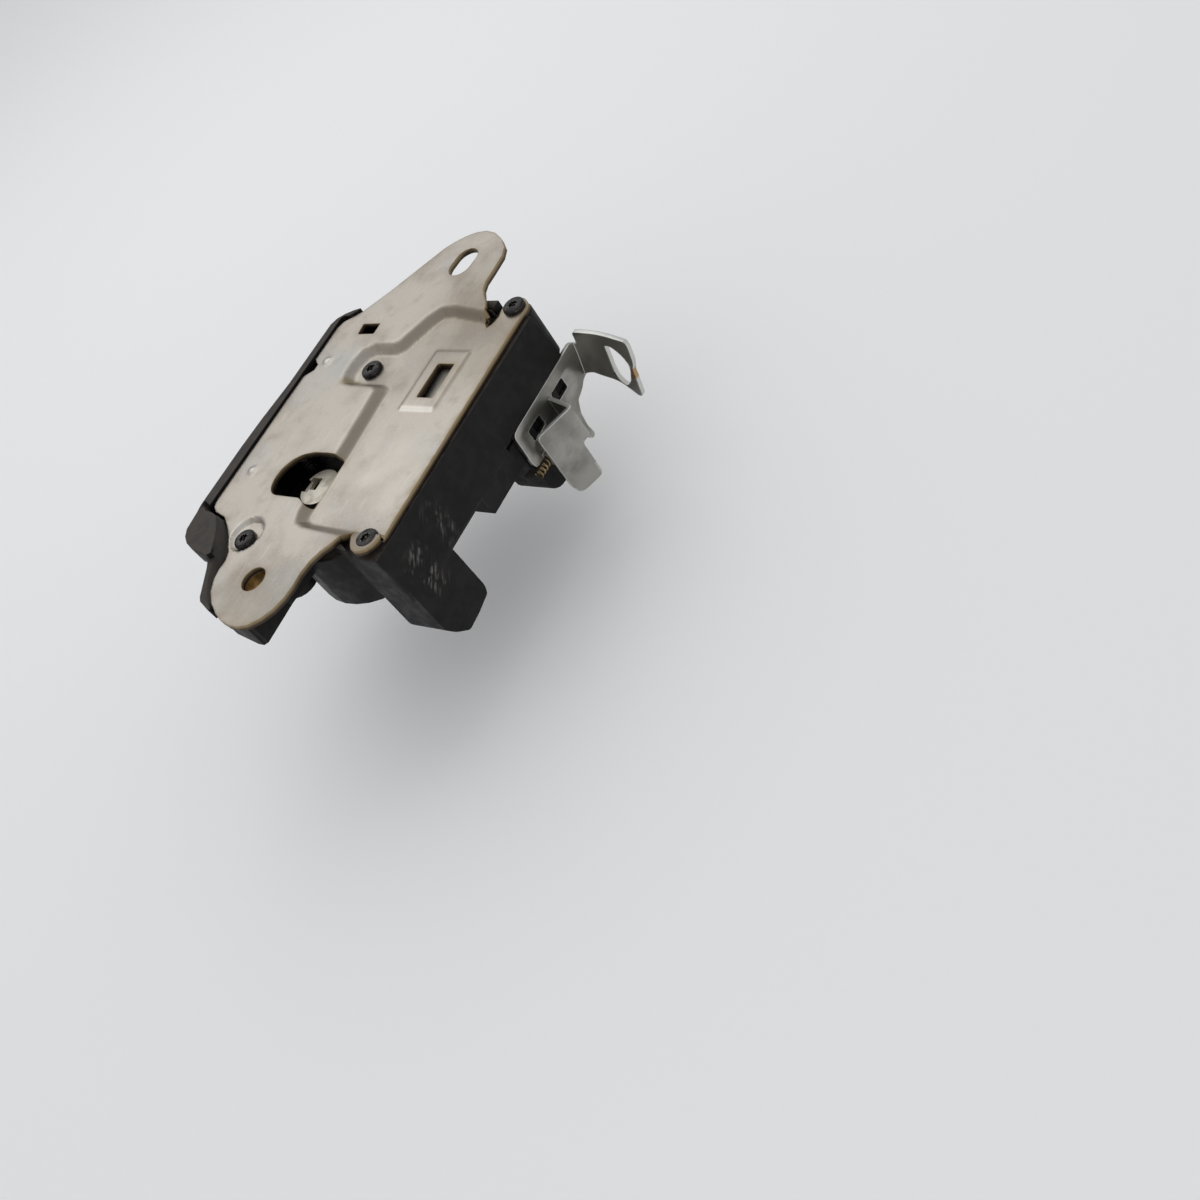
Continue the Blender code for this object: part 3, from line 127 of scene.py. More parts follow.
bm = bmesh.new()
bmesh.ops.create_grid(bm, x_segments=1, y_segments=1, size=3.0)
bmesh.ops.translate(bm, verts=bm.verts, vec=(0, 0, -0.075))
sheet = bpy.data.meshes.new("floor")
bm.to_mesh(sheet)
bm.free()
floor = bpy.data.objects.new("floor", sheet)
scene.collection.objects.link(floor)
paper = bpy.data.materials.new("white paper floor")
paper.use_nodes = True
paper_shader = paper.node_tree.nodes["Principled BSDF"]
paper_shader.inputs["Base Color"].default_value = (*linear("#FBFBFB"), 1.0)
paper_shader.inputs["Roughness"].default_value = 0.9
sheet.materials.append(paper)
print("floor at", -75, "mm")

# %% [markdown]
# ## How a material is put together
# Every finish is a small tree of nodes. One helper adds a node, sets its values and joins its
# inputs. A pattern reads Object coordinates, where one unit is a metre, so a pattern that
# repeats every so many millimetres has a scale of 1000 divided by that size.

# %% Helpers for materials
def add_node(tree, kind, settings=None, links=None):
    """One node: settings go to its properties or inputs, links join other nodes' outputs to it."""
    made = tree.nodes.new(kind)
    for name, value in (settings or {}).items():
        if isinstance(name, int) or name in made.inputs:
            made.inputs[name].default_value = value
        else:
            setattr(made, name, value)
    for name, source in (links or {}).items():
        tree.links.new(source, made.inputs[name])
    return made


def start(name, colour, metallic, roughness):
    """A new material, its tree, its shader and the Object coordinates its patterns read."""
    made = bpy.data.materials.new(name)
    made.use_nodes = True
    tree = made.node_tree
    shader = tree.nodes["Principled BSDF"]
    shader.inputs["Base Color"].default_value = (*linear(colour), 1.0)
    shader.inputs["Metallic"].default_value = metallic
    shader.inputs["Roughness"].default_value = roughness
    place = add_node(tree, "ShaderNodeTexCoord").outputs["Object"]
    return made, tree, shader, place


def per_mm(size):
    """The texture scale that makes one feature about this many millimetres."""
    return 1000.0 / size


def spots(tree, place, size, low, high, detail=4.0, stretch=None, lean=0.0, seed=0.0):
    """A 0 to 1 noise mask: features of a size in mm, drawn out along X, Y, Z and leant about Y."""
    if stretch:
        place = add_node(tree, "ShaderNodeMapping",
                         {"vector_type": "TEXTURE", "Scale": stretch,
                          "Rotation": (0.0, math.radians(lean), 0.0)},
                         {"Vector": place}).outputs[0]
    noise = add_node(tree, "ShaderNodeTexNoise",
                     {"noise_dimensions": "4D", "W": seed, "Scale": per_mm(size), "Detail": detail},
                     {"Vector": place})
    return add_node(tree, "ShaderNodeMapRange",
                    {"interpolation_type": "SMOOTHSTEP", "From Min": low, "From Max": high},
                    {"Value": noise.outputs["Fac"]}).outputs["Result"]


def over(tree, below, colour, amount):
    """A colour laid over another where the amount says; returns the mixed colour's output."""
    made = add_node(tree, "ShaderNodeMix", {"data_type": "RGBA"}, {0: amount})
    for slot, value in ((6, below), (7, colour)):
        if isinstance(value, str):
            made.inputs[slot].default_value = (*linear(value), 1.0)
        else:
            tree.links.new(value, made.inputs[slot])
    return made.outputs[2]


def sums(tree, operation, a, b):
    """One step of arithmetic; a and b are numbers or outputs."""
    made = add_node(tree, "ShaderNodeMath", {"operation": operation})
    for slot, value in enumerate((a, b)):
        if isinstance(value, (int, float)):
            made.inputs[slot].default_value = value
        else:
            tree.links.new(value, made.inputs[slot])
    return made.outputs[0]


def between(tree, value, low, high, to_low=0.0, to_high=1.0):
    """A value carried smoothly from one range to another, and held at its ends."""
    return add_node(tree, "ShaderNodeMapRange",
                    {"interpolation_type": "SMOOTHSTEP", "From Min": low, "From Max": high,
                     "To Min": to_low, "To Max": to_high}, {"Value": value}).outputs["Result"]


def facing(tree, axis):
    """How far a surface faces along an axis: 1 along it, -1 against it."""
    normal = add_node(tree, "ShaderNodeNewGeometry").outputs["Normal"]
    return add_node(tree, "ShaderNodeSeparateXYZ", None, {0: normal}).outputs[axis]


def edge_wear_and_sheen(tree, radius):
    """1 where a surface comes within a radius, in mm, of a sharp edge."""
    soft = add_node(tree, "ShaderNodeBevel", {"samples": 8, "Radius": radius * MM}).outputs[0]
    true = add_node(tree, "ShaderNodeNewGeometry").outputs["True Normal"]
    turned = add_node(tree, "ShaderNodeVectorMath", {"operation": "DOT_PRODUCT"}, {0: soft, 1: true})
    return between(tree, turned.outputs["Value"], 0.99, 0.88)


def patch_box(tree, place, low, high, soft):
    """1 inside a box given in mm, fading over its soft edge."""
    parts = add_node(tree, "ShaderNodeSeparateXYZ", None, {0: place})
    whole = None
    for axis in range(3):
        if low[axis] is None:
            continue
        up = between(tree, parts.outputs[axis], (low[axis] - soft) * MM, (low[axis] + soft) * MM)
        down = between(tree, parts.outputs[axis], (high[axis] + soft) * MM, (high[axis] - soft) * MM)
        both = sums(tree, "MULTIPLY", up, down)
        whole = both if whole is None else sums(tree, "MULTIPLY", whole, both)
    return whole


def attribute(tree, name):
    """A value that the mesh itself carries on its points."""
    return add_node(tree, "ShaderNodeAttribute", {"attribute_name": name}).outputs["Fac"]


def relief(tree, shader, layers, edge=0.0):
    """Bump from (height output, height in mm) layers over edges softened by a radius in mm."""
    before = None
    if edge:
        before = add_node(tree, "ShaderNodeBevel", {"samples": 6, "Radius": edge * MM}).outputs[0]
    for height, deep in layers:
        made = add_node(tree, "ShaderNodeBump", {"Distance": deep * MM, "Strength": 1.0}, {"Height": height})
        if before is not None:
            tree.links.new(before, made.inputs["Normal"])
        before = made.outputs[0]
    tree.links.new(before, shader.inputs["Normal"])


def give(piece, material):
    """Puts one material on every face of a piece or CAD node."""
    if not piece.data.materials:
        piece.data.materials.append(material)
    for slot in piece.material_slots:
        slot.material = material


print("1 mm pattern scale:", per_mm(1))

# %% [markdown]
# ## Zinc-plated pressed steel
# Zinc plate on cold-rolled sheet is a soft grey metal that a chromate rinse leaves slightly
# warm. Handling dulls it in clouds a few centimetres wide, with fine grain, small dark specks
# and short rubs along the sheet. The border is browner. The slopes of the bends and the pad's edges
# take a browner tone with painted shade darkest at their foot, and the sheared edge is yellow-brown
# with painted shade that darkens it from the front to the back. The mesh carries where those are.
# Boxes add a few tones and paint shade, light and glints on parts of the plate.

# %% Zinc-plated steel plate
TONES_AND_PAINTED_LIGHT = [  # low XY, high XY and softness in mm, tone, share
    # painted shade: the upper right field darker
    ((14.0, -46.0), (64.0, -2.0), 13.0, "#887C6A", 0.42),
    # painted light: the lower field brighter
    ((-40.0, -31.0), (-8.0, -8.0), 9.0, "#D9D3C9", 0.38),
    # the lower ear darker and warmer; a painted highlight along the pad's left edge
    ((-86.0, -18.0), (-63.0, 12.0), 8.0, "#A1927B", 0.32), ((3.3, -25.0), (5.1, -10.8), 0.5, "#ECE8E0", 0.62),
    # painted shade along the pad's lower edge; a painted glint on one pip
    ((4.6, -26.2), (27.8, -24.6), 0.5, "#4F4638", 0.30), ((19.6, 32.2), (21.4, 33.8), 0.8, "#E8E6E0", 0.55),
    # a painted glint on the other pip; a yellow-brown tint in the claw screw's pocket
    ((-27.2, 31.8), (-25.6, 33.4), 0.8, "#E8E6E0", 0.45), ((11.0, 14.5), (14.6, 20.5), 1.2, "#7E7038", 0.55),
    # a painted highlight on the upper rim of the ear screw's dimple
    ((-56.5, 18.8), (-46.0, 22.6), 1.4, "#D9D6CE", 0.45)]


def zinc_plated_plate():
    made, tree, shader, place = start("zinc-plated pressed steel", "#B9B2A8", 1.0, 0.42)
    clouds = spots(tree, place, 22.0, 0.40, 0.68, 3.0, seed=1.0)
    colour = over(tree, "#BCB5AB", "#A79E94", clouds)
    patch = spots(tree, place, 6.0, 0.50, 0.74, 6.0, seed=2.0)
    colour = over(tree, colour, "#91887C", sums(tree, "MULTIPLY", patch, 0.45))
    cool = spots(tree, place, 30.0, 0.50, 0.70, 2.0, seed=6.0)
    colour = over(tree, colour, "#ACB0B0", sums(tree, "MULTIPLY", cool, 0.5))
    grain = spots(tree, place, 0.7, 0.30, 0.75, 2.0, seed=3.0)
    colour = over(tree, colour, "#CBC5BB", sums(tree, "MULTIPLY", grain, 0.30))
    specks = spots(tree, place, 1.6, 0.70, 0.77, 2.0, seed=4.0)
    colour = over(tree, colour, "#5B5147", sums(tree, "MULTIPLY", specks, 0.55))
    rubs = spots(tree, place, 1.2, 0.60, 0.72, 2.0, stretch=(7.0, 0.7, 1.0), seed=5.0)
    colour = over(tree, colour, "#D2CCC2", sums(tree, "MULTIPLY", rubs, 0.35))
    # painted shade on the slopes of the bends and the pad's edges, darkest near their foot, over a browner
    # tone
    colour = over(tree, colour, "#7A6F5F", sums(tree, "MULTIPLY", attribute(tree, "slope_shade_and_tone"), 0.62))
    # the boxes lay tones, painted shade, painted light and painted glints
    for low, high, soft, tone, share in TONES_AND_PAINTED_LIGHT:
        here = patch_box(tree, place, (*low, None), (*high, None), soft)
        colour = over(tree, colour, tone, sums(tree, "MULTIPLY", here, share))
    stain = spots(tree, place, 5.0, 0.30, 0.62, 3.0, seed=7.0)
    stained = between(tree, stain, 0.0, 1.0, 0.30, 0.80)
    near_edge = sums(tree, "MULTIPLY", attribute(tree, "border"), stained)
    colour = over(tree, colour, "#8D7A58", near_edge)
    level = sums(tree, "ABSOLUTE", facing(tree, 2), 0.0)
    sheared = between(tree, level, 0.70, 0.35)
    # the sheared edge: a yellow-brown face with painted shade that darkens it from the front to the back
    height = add_node(tree, "ShaderNodeSeparateXYZ", None, {0: place}).outputs[2]
    depth = sums(tree, "SUBTRACT", attribute(tree, "front"), height)
    cut_face_and_shade = over(tree, "#A08D6C", "#43392F", between(tree, depth, 0.3 * MM, 1.5 * MM))
    colour = over(tree, colour, cut_face_and_shade, sums(tree, "MULTIPLY", sheared, 0.92))
    tree.links.new(colour, shader.inputs["Base Color"])
    rough = between(tree, clouds, 0.0, 1.0, 0.38, 0.50)
    rougher = sums(tree, "ADD", rough, sums(tree, "MULTIPLY", sheared, 0.15))
    tree.links.new(rougher, shader.inputs["Roughness"])
    relief(tree, shader, [(grain, 0.006), (clouds, 0.05), (patch, 0.010), (rubs, 0.004)], edge=0.4)
    return made


PLATE_FINISH = zinc_plated_plate()
print(PLATE_FINISH.name)

# %% [markdown]
# ## Black moulded polyamide
# The housing is glass-filled nylon with a fine spark-eroded grain. It is nearly black, dull,
# greyer where dust lies on faces that look up, and scuffed pale on the side wall where the
# latch was handled. Moulded edges are never sharp, so the shading rounds them by half a mm.

# %% Black moulded polyamide
def black_polyamide(name, scuffs=()):
    made, tree, shader, place = start(name, "#121110", 0.0, 0.55)
    shader.inputs["Specular IOR Level"].default_value = 0.22
    mottle = spots(tree, place, 14.0, 0.35, 0.7, 4.0, seed=11.0)
    colour = over(tree, "#0C0B0B", "#151312", mottle)
    dust = spots(tree, place, 3.5, 0.30, 0.66, 5.0, seed=12.0)
    up = between(tree, facing(tree, 2), 0.4, 0.95)
    settled = between(tree, dust, 0.0, 1.0, 0.35, 0.75)
    colour = over(tree, colour, "#524B46", sums(tree, "MULTIPLY", up, settled))
    film = spots(tree, place, 8.0, 0.5, 0.8, 5.0, stretch=(2.5, 1.0, 0.7), seed=13.0)
    colour = over(tree, colour, "#23211F", sums(tree, "MULTIPLY", film, 0.25))
    for low, high, strength in scuffs:
        where = patch_box(tree, place, low, high, 2.6)
        stroke = spots(tree, place, 1.3, 0.42, 0.64, 2.0, stretch=(4.0, 1.0, 0.6), lean=-42.0, seed=low[0])
        gaps = spots(tree, place, 3.0, 0.42, 0.62, 3.0, seed=high[0])
        amount = sums(tree, "MULTIPLY", sums(tree, "MULTIPLY", where, stroke), gaps)
        colour = over(tree, colour, "#75726D", sums(tree, "MULTIPLY", amount, strength))
    rubbed = edge_wear_and_sheen(tree, 0.35)
    colour = over(tree, colour, "#3A3632", sums(tree, "MULTIPLY", rubbed, 0.5))
    tree.links.new(colour, shader.inputs["Base Color"])
    grain = spots(tree, place, 0.45, 0.2, 0.8, 2.0, seed=14.0)
    tree.links.new(between(tree, dust, 0.0, 1.0, 0.48, 0.64), shader.inputs["Roughness"])
    relief(tree, shader, [(grain, 0.010)], edge=0.5)
    return made


SCUFFS = [  # low and high corners in mm, strength
    ((-45.0, -48.0, -29.5), (-37.0, -30.0, -13.0), 0.7),
    ((-29.5, -48.0, -24.0), (-23.5, -30.0, -9.5), 0.45)]
HOUSING_FINISH = black_polyamide("moulded black PA, scuffed", SCUFFS)
CAP_FINISH = black_polyamide("moulded black PA")
print(HOUSING_FINISH.name, "and", CAP_FINISH.name)

# %% [markdown]
# ## The smaller metals
# Each small piece has its own finish: plated sheet on the slider, matt die-cast zinc on the key
# cam, black and yellow passivation on screws and sleeve, phosphate on the hardened claw and
# pawl, plain brass on the contacts. They differ in colour, roughness and grain, so one function
# takes those values and gives each its clouds, grain and, but for the spring wire, rounded edges.
# On the slider's sheet and the screws it also paints highlights along the edges. The plastics and
# the rubber inside the housing are plainer: two close tones and a fine grain.

# %% Smaller metals
def small_metal(name, main, cloud, rough, cloud_mm=6.0, grain_mm=0.6, deep=0.006, seed=20.0, edge=0.25,
                dirt="#3A342D", dirt_share=0.35, edge_highlight=None, stains=()):
    made, tree, shader, place = start(name, main, 1.0, rough)
    clouds = spots(tree, place, cloud_mm, 0.36, 0.68, 4.0, seed=seed)
    colour = over(tree, main, cloud, clouds)
    grain = spots(tree, place, grain_mm, 0.3, 0.75, 2.0, seed=seed + 1)
    soiled = spots(tree, place, cloud_mm * 0.5, 0.56, 0.74, 5.0, seed=seed + 2)
    colour = over(tree, colour, dirt, sums(tree, "MULTIPLY", soiled, dirt_share))
    # painted highlight along sharp edges and the sheet's rims: sheen on the slider, glints on the screws
    if edge_highlight:
        colour = over(tree, colour, edge_highlight, sums(tree, "MULTIPLY", edge_wear_and_sheen(tree, 0.45), 0.8))
        colour = over(tree, colour, edge_highlight, sums(tree, "MULTIPLY", attribute(tree, "rim"), 0.75))
    for low, high, stain in stains:
        here = patch_box(tree, place, low, high, 0.5)
        colour = over(tree, colour, stain, sums(tree, "MULTIPLY", here, 0.8))
    tree.links.new(colour, shader.inputs["Base Color"])
    tree.links.new(between(tree, clouds, 0.0, 1.0, rough - 0.06, rough + 0.08), shader.inputs["Roughness"])
    relief(tree, shader, [(grain, deep)], edge=edge)
    return made


RUST_ON_STRAP = ((None, -63.0, -36.4), (None, -58.6, -32.9), "#A9824A")
# D9DAD5 is painted highlight on the slider's edges and rims
SHEET_FINISH = small_metal("zinc-plated sheet steel", "#A3A19B", "#84837D", 0.40, 11.0, 0.6, 0.004,
                           21.0, 0.3, "#4A453C", 0.22, "#D9DAD5", [RUST_ON_STRAP])
CAST_FINISH = small_metal("die-cast zinc", "#D6D0C4", "#B3AC9E", 0.5, 4.0, 0.4, 0.012, 24.0, 0.2)
# 8A8683 is painted glints on the screws' edges
SCREW_FINISH = small_metal("black passivated steel", "#3B3938", "#252424", 0.24, 2.0, 0.4, 0.004,
                           27.0, 0.12, "#6B655C", 0.35, "#8A8683")
YELLOW_FINISH = small_metal("yellow passivated steel", "#BFA376", "#94825E", 0.34, 3.0, 0.5, 0.003,
                            30.0, 0.15)
PHOSPHATE_FINISH = small_metal("phosphated steel", "#3B3A39", "#2C2B2A", 0.55, 5.0, 0.4, 0.008, 33.0, 0.25)
GROUND_FINISH = small_metal("ground steel", "#C0BFBD", "#A9A8A5", 0.26, 5.0, 0.4, 0.003, 36.0, 0.15)
BRASS_FINISH = small_metal("drawn brass", "#C9A96A", "#A98A4F", 0.3, 3.0, 0.4, 0.003, 39.0, 0.1)
WIRE_FINISH = small_metal("black oiled spring wire", "#3F3E3D", "#2E2D2C", 0.35, 4.0, 0.4, 0.003, 42.0, 0.0)
print("eight small metals")

# %% Plastics and rubber inside
def moulded(name, colour, other, rough, seed):
    """A dull moulded surface in two close tones."""
    made, tree, shader, place = start(name, colour, 0.0, rough)
    mottle = spots(tree, place, 5.0, 0.35, 0.7, 4.0, seed=seed)
    tree.links.new(over(tree, colour, other, mottle), shader.inputs["Base Color"])
    grain = spots(tree, place, 0.5, 0.2, 0.8, 2.0, seed=seed + 1)
    relief(tree, shader, [(grain, 0.01)], edge=0.25)
    return made


POM_FINISH = moulded("natural moulded POM", "#E6E3DA", "#D6D2C6", 0.42, 50.0)
RED_FINISH = moulded("red moulded POM", "#A8342A", "#8E2A22", 0.42, 53.0)
RUBBER_FINISH = moulded("black rubber", "#1B1B1B", "#262524", 0.8, 56.0)
SWITCH_FINISH = moulded("black moulded PBT", "#161615", "#1F1F1E", 0.45, 59.0)

# %% [markdown]
# ## Every solid gets its finish
# The solids keep their place and shape; only their material slots change. The table says which
# finish each piece has on the real latch.

# %% Finishes on the solids
FINISHES = {
    "mounting_plate": PLATE_FINISH, "housing": HOUSING_FINISH, "rear_cap": CAP_FINISH,
    "release_slider": SHEET_FINISH, "key_cam": CAST_FINISH, "claw": PHOSPHATE_FINISH,
    "pawl": PHOSPHATE_FINISH, "claw_bush": GROUND_FINISH, "pawl_pin": GROUND_FINISH,
    "wheel_axle": GROUND_FINISH, "motor": GROUND_FINISH, "motor_worm": BRASS_FINISH,
    "worm_wheel": POM_FINISH, "switch_body": SWITCH_FINISH, "switch_plunger": RED_FINISH,
    "striker_bumper": RUBBER_FINISH, "motor_pad": RUBBER_FINISH, "ear_sleeve": YELLOW_FINISH,
    "slider_spring": YELLOW_FINISH, "claw_spring": WIRE_FINISH, "pawl_spring": WIRE_FINISH,
    "window_backing": SHEET_FINISH,
}
for name, node in nodes.items():
    if name.startswith(("plate_screw", "cap_screw")):
        give(node, SCREW_FINISH)
    elif name.startswith("contact_strip"):
        give(node, BRASS_FINISH)
    else:
        give(node, FINISHES[name])
print("finished", len(nodes), "solids")

# %% [markdown]
# ## The pressed plate
# A press tool leaves round bends, not creases. The plate's outline with its holes is filled as a
# flat face and cut into 0.75 mm squares; each point is then sunk by how far it lies between the
# top line of the pressed slope and its foot. Each point also keeps its height, the painted shade and
# browner tone it gets on the slopes and the pad's edges, and its nearness to an edge for the finish.
# A second skin 2 mm behind closes the sheet, with each point's direction taken from the larger faces
# round it, and Bevel rounds the sheared edge.

# %% Plate outlines
BEND_TOP = [
    (43.1, -23.7), (45.6, -9.0), (45.0, -3.0), (41.0, 0.9), (30.2, 6.2), (28.9, 8.6),
    (28.7, 16.2), (26.4, 20.3), (21.5, 22.0), (15.4, 21.8), (11.2, 19.0), (10.4, 15.0),
    (10.2, 5.0), (8.6, 2.7), (-15.6, 0.7), (-39.4, 0.4), (-43.6, -1.2), (-45.0, -5.5),
    (-46.4, -24.0)]
BEND_FOOT = [
    (39.9, -23.6), (42.6, -9.2), (42.4, -4.4), (40.0, -2.6), (28.2, 3.2), (26.4, 5.8),
    (26.2, 15.2), (24.4, 17.8), (20.9, 18.9), (16.6, 18.8), (13.9, 17.0), (13.4, 13.8),
    (13.2, 3.0), (11.8, -0.4), (-15.8, -2.2), (-38.4, -2.6), (-41.0, -3.6), (-42.0, -6.3),
    (-42.7, -24.9)]
EDGE_EARS = [
    (-49.8, -22.2), (-52.4, -20.2), (-56.3, -18.5), (-60.5, -17.9), (-65.1, -18.2),
    (-69.3, -17.8), (-73.6, -16.4), (-77.3, -13.8), (-80.1, -10.3), (-81.3, -6.5),
    (-81.2, -2.5), (-80.2, 1.8), (-78.2, 6.0), (-75.4, 10.4), (-72.0, 13.9), (-67.6, 16.2),
    (-63.8, 17.0), (-60.4, 16.8), (-57.3, 18.0), (-52.3, 22.1), (-47.6, 27.4), (-44.9, 30.8),
    (-43.4, 36.6), (-41.6, 38.9), (-38.4, 39.9), (13.4, 39.9), (14.9, 38.4), (16.4, 36.7),
    (18.9, 36.7), (20.2, 38.6), (21.4, 39.9), (35.6, 39.9), (38.4, 38.6), (43.3, 32.6),
    (52.4, 26.0), (72.1, 13.7), (75.0, 10.8), (77.4, 7.4), (79.1, 3.6), (79.6, -0.8),
    (78.4, -5.4), (75.6, -9.8), (71.8, -13.6), (67.6, -15.3), (60.8, -15.6), (55.8, -15.6),
    (52.6, -16.6), (49.6, -18.7), (46.8, -21.4)]
EDGE_SIDE = [
    (38.3, -25.4), (40.4, -26.7), (43.2, -27.4), (45.0, -26.8), (46.8, -26.6), (48.6, -26.9),
    (50.1, -27.9), (51.0, -29.4), (51.3, -31.1), (51.1, -32.7), (50.5, -34.1), (49.6, -35.3),
    (48.3, -36.2), (46.6, -36.6), (43.0, -36.5), (-41.0, -37.5), (-43.5, -37.6), (-45.6, -37.3),
    (-47.5, -36.6), (-49.0, -35.3), (-49.9, -33.6), (-50.2, -31.9), (-49.7, -30.2),
    (-48.4, -28.9), (-46.4, -27.6)]
CRESCENT = [
    (-36.6, -2.55), (-37.0, -0.8), (-36.2, 0.9), (-34.8, 3.2), (-34.7, 15.0), (-33.8, 17.4),
    (-31.6, 19.2), (-28.0, 20.1), (-24.2, 19.6), (-20.8, 17.6), (-18.4, 14.4), (-17.2, 10.0),
    (-17.0, 4.0), (-17.3, -2.2)]


def circle(centre, radius, sides=32, first=0.0, last=360.0):
    count = sides if last - first >= 360 else sides + 1
    return [(centre[0] + radius * math.cos(math.radians(first + (last - first) * i / sides)),
             centre[1] + radius * math.sin(math.radians(first + (last - first) * i / sides)))
            for i in range(count)]


def slot(centre, length, width, degrees):
    """A round-ended slot's outline."""
    half = (length - width) / 2
    points = circle((half, 0), width / 2, 12, -90, 90) + circle((-half, 0), width / 2, 12, 90, 270)
    c, s = math.cos(math.radians(degrees)), math.sin(math.radians(degrees))
    return [(centre[0] + x * c - y * s, centre[1] + x * s + y * c) for x, y in points]


def softened(points, reach, steps=4):
    """The outline with each corner rounded from a reach on either side of it."""
    out = []
    for i, here in enumerate(points):
        here = Vector(here)
        back, ahead = Vector(points[i - 1]) - here, Vector(points[(i + 1) % len(points)]) - here
        r = min(reach, back.length * 0.45, ahead.length * 0.45)
        a, b = here + back.normalized() * r, here + ahead.normalized() * r
        for k in range(steps + 1):
            t = k / steps
            out.append(tuple(a * (1 - t) ** 2 + here * (2 * t * (1 - t)) + b * t ** 2))
    return out


OUTLINE = ([BEND_TOP[-1]] + EDGE_EARS + [BEND_TOP[0], BEND_FOOT[0]] + EDGE_SIDE + [BEND_FOOT[-1]])
SCREW_SPOTS = [(46.8, -31.9), (-44.9, -32.6), (19.2, 12.5), (-51.6, 15.6)]
HOLES = [circle((-65.0, -0.5), 4.3, 40), slot((65.2, 0.5), 12.6, 9.0, -4.0),
         softened([(32.9, 20.0), (37.6, 20.2), (37.4, 28.2), (32.7, 27.6)], 0.6),
         softened([(8.6, -22.2), (22.6, -22.2), (22.6, -15.0), (8.6, -15.0)], 0.8),
         softened(CRESCENT, 1.2)] + [circle(c, 2.2, 20) for c in SCREW_SPOTS]
print("outline of", len(OUTLINE), "points,", len(HOLES), "holes")

# %% Plate surface
def evaluated(holder):
    """The mesh an object has once its modifiers have run."""
    ready = holder.evaluated_get(bpy.context.evaluated_depsgraph_get())
    return bpy.data.meshes.new_from_object(ready)


def filled(outlines, cell):
    """A flat mesh of the first outline less the others, cut into square cells of a size in mm."""
    curve = bpy.data.curves.new("outline", "CURVE")
    curve.dimensions = "2D"
    curve.fill_mode = "FRONT"
    for points in outlines:
        spline = curve.splines.new("POLY")
        spline.points.add(len(points) - 1)
        for spot, p in zip(spline.points, points):
            spot.co = (p[0], p[1], 0.0, 1.0)
        spline.use_cyclic_u = True
    holder = bpy.data.objects.new("outline", curve)
    scene.collection.objects.link(holder)
    flat = evaluated(holder)
    bpy.data.objects.remove(holder)
    bm = bmesh.new()
    bm.from_mesh(flat)
    bmesh.ops.remove_doubles(bm, verts=bm.verts, dist=0.001)
    for axis in (0, 1):
        values = [v.co[axis] for v in bm.verts]
        at = (math.floor(min(values) / cell) + 0.37) * cell
        while at < max(values):
            normal = Vector((1, 0, 0)) if axis == 0 else Vector((0, 1, 0))
            bmesh.ops.bisect_plane(bm, geom=bm.verts[:] + bm.edges[:] + bm.faces[:],
                                   plane_co=normal * at, plane_no=normal, dist=0.0005)
            at += cell
    return bm


def distances(spots_xy, line):
    """How far each point lies from an open line."""
    best = np.full(len(spots_xy), 1e9)
    for a, b in zip(line, line[1:]):
        a, b = np.array(a), np.array(b)
        d = b - a
        t = np.clip(((spots_xy - a) @ d) / (d @ d), 0, 1)
        best = np.minimum(best, np.linalg.norm(spots_xy - a - t[:, None] * d, axis=1))
    return best


def inside(spots_xy, outline):
    """Which points lie inside a closed outline."""
    hit = np.zeros(len(spots_xy), bool)
    x, y = spots_xy[:, 0], spots_xy[:, 1]
    for (ax, ay), (bx, by) in zip(outline, outline[1:] + outline[:1]):
        if ay == by:
            continue
        crosses = (ay > y) != (by > y)
        hit ^= crosses & (x < (bx - ax) * (y - ay) / (by - ay) + ax)
    return hit


def smooth(t):
    t = np.clip(t, 0, 1)
    return t * t * (3 - 2 * t)


SUNK_MM, PAD_MM, DIMPLE_MM, PIP_MM = 3.0, 0.55, 1.5, 0.7
DIMPLE = (-50.0, 15.6)
PIPS = ((20.5, 33.0), (-26.4, 32.5))
PLATE_MM, PLATE_CELL, PLATE_EDGE = 2.0, 0.75, 0.22
CREASE = math.radians(38)


def plate_height(xy):
    """The plate's front face, in mm, over points in mm, and 0 to 1 how much browner tone and painted shade
    each gets on the slopes and the pad's edges.
    """
    margin = 0.55
    ears = [BEND_TOP[-1], (-60, -24)] + [(-100, -24), (-100, 60), (100, 60), (100, -23.7)] + BEND_TOP
    sunk = BEND_FOOT + [(-43, -60), (60, -60), (60, -23.6)]
    top = distances(xy, BEND_TOP)
    foot = distances(xy, BEND_FOOT)
    top[inside(xy, ears)] *= -1
    foot[inside(xy, sunk)] *= -1
    top = np.maximum(top, -margin)
    foot = np.maximum(foot, -margin)
    share = (top + margin) / np.maximum(top + foot + 2 * margin, 1e-6)
    z = -SUNK_MM * smooth(share)
    less_at_left = 1 - 0.55 * smooth((xy[:, 1] - 4) / 8)
    # painted shade and browner tone: rising towards the slope's foot, less on the left; the pad's edges get
    # it too
    slope_shade_and_tone = smooth(share * 3.2) * (1 - smooth((share - 0.86) / 0.14)) * less_at_left
    pad = np.minimum.reduce([xy[:, 0] - 4.3, 28.2 - xy[:, 0], xy[:, 1] + 25.3, -10.4 - xy[:, 1]])
    rise = smooth(pad / 1.6 + 0.5)
    z += PAD_MM * rise
    slope_shade_and_tone = np.maximum(slope_shade_and_tone, 1.6 * rise * (1 - rise))
    z -= DIMPLE_MM * smooth((6.3 - np.linalg.norm(xy - np.array(DIMPLE), axis=1)) / 1.4 + 0.3)
    for pip in PIPS:
        z += PIP_MM * smooth((2.3 - np.linalg.norm(xy - np.array(pip), axis=1)) / 1.6)
    return z, slope_shade_and_tone


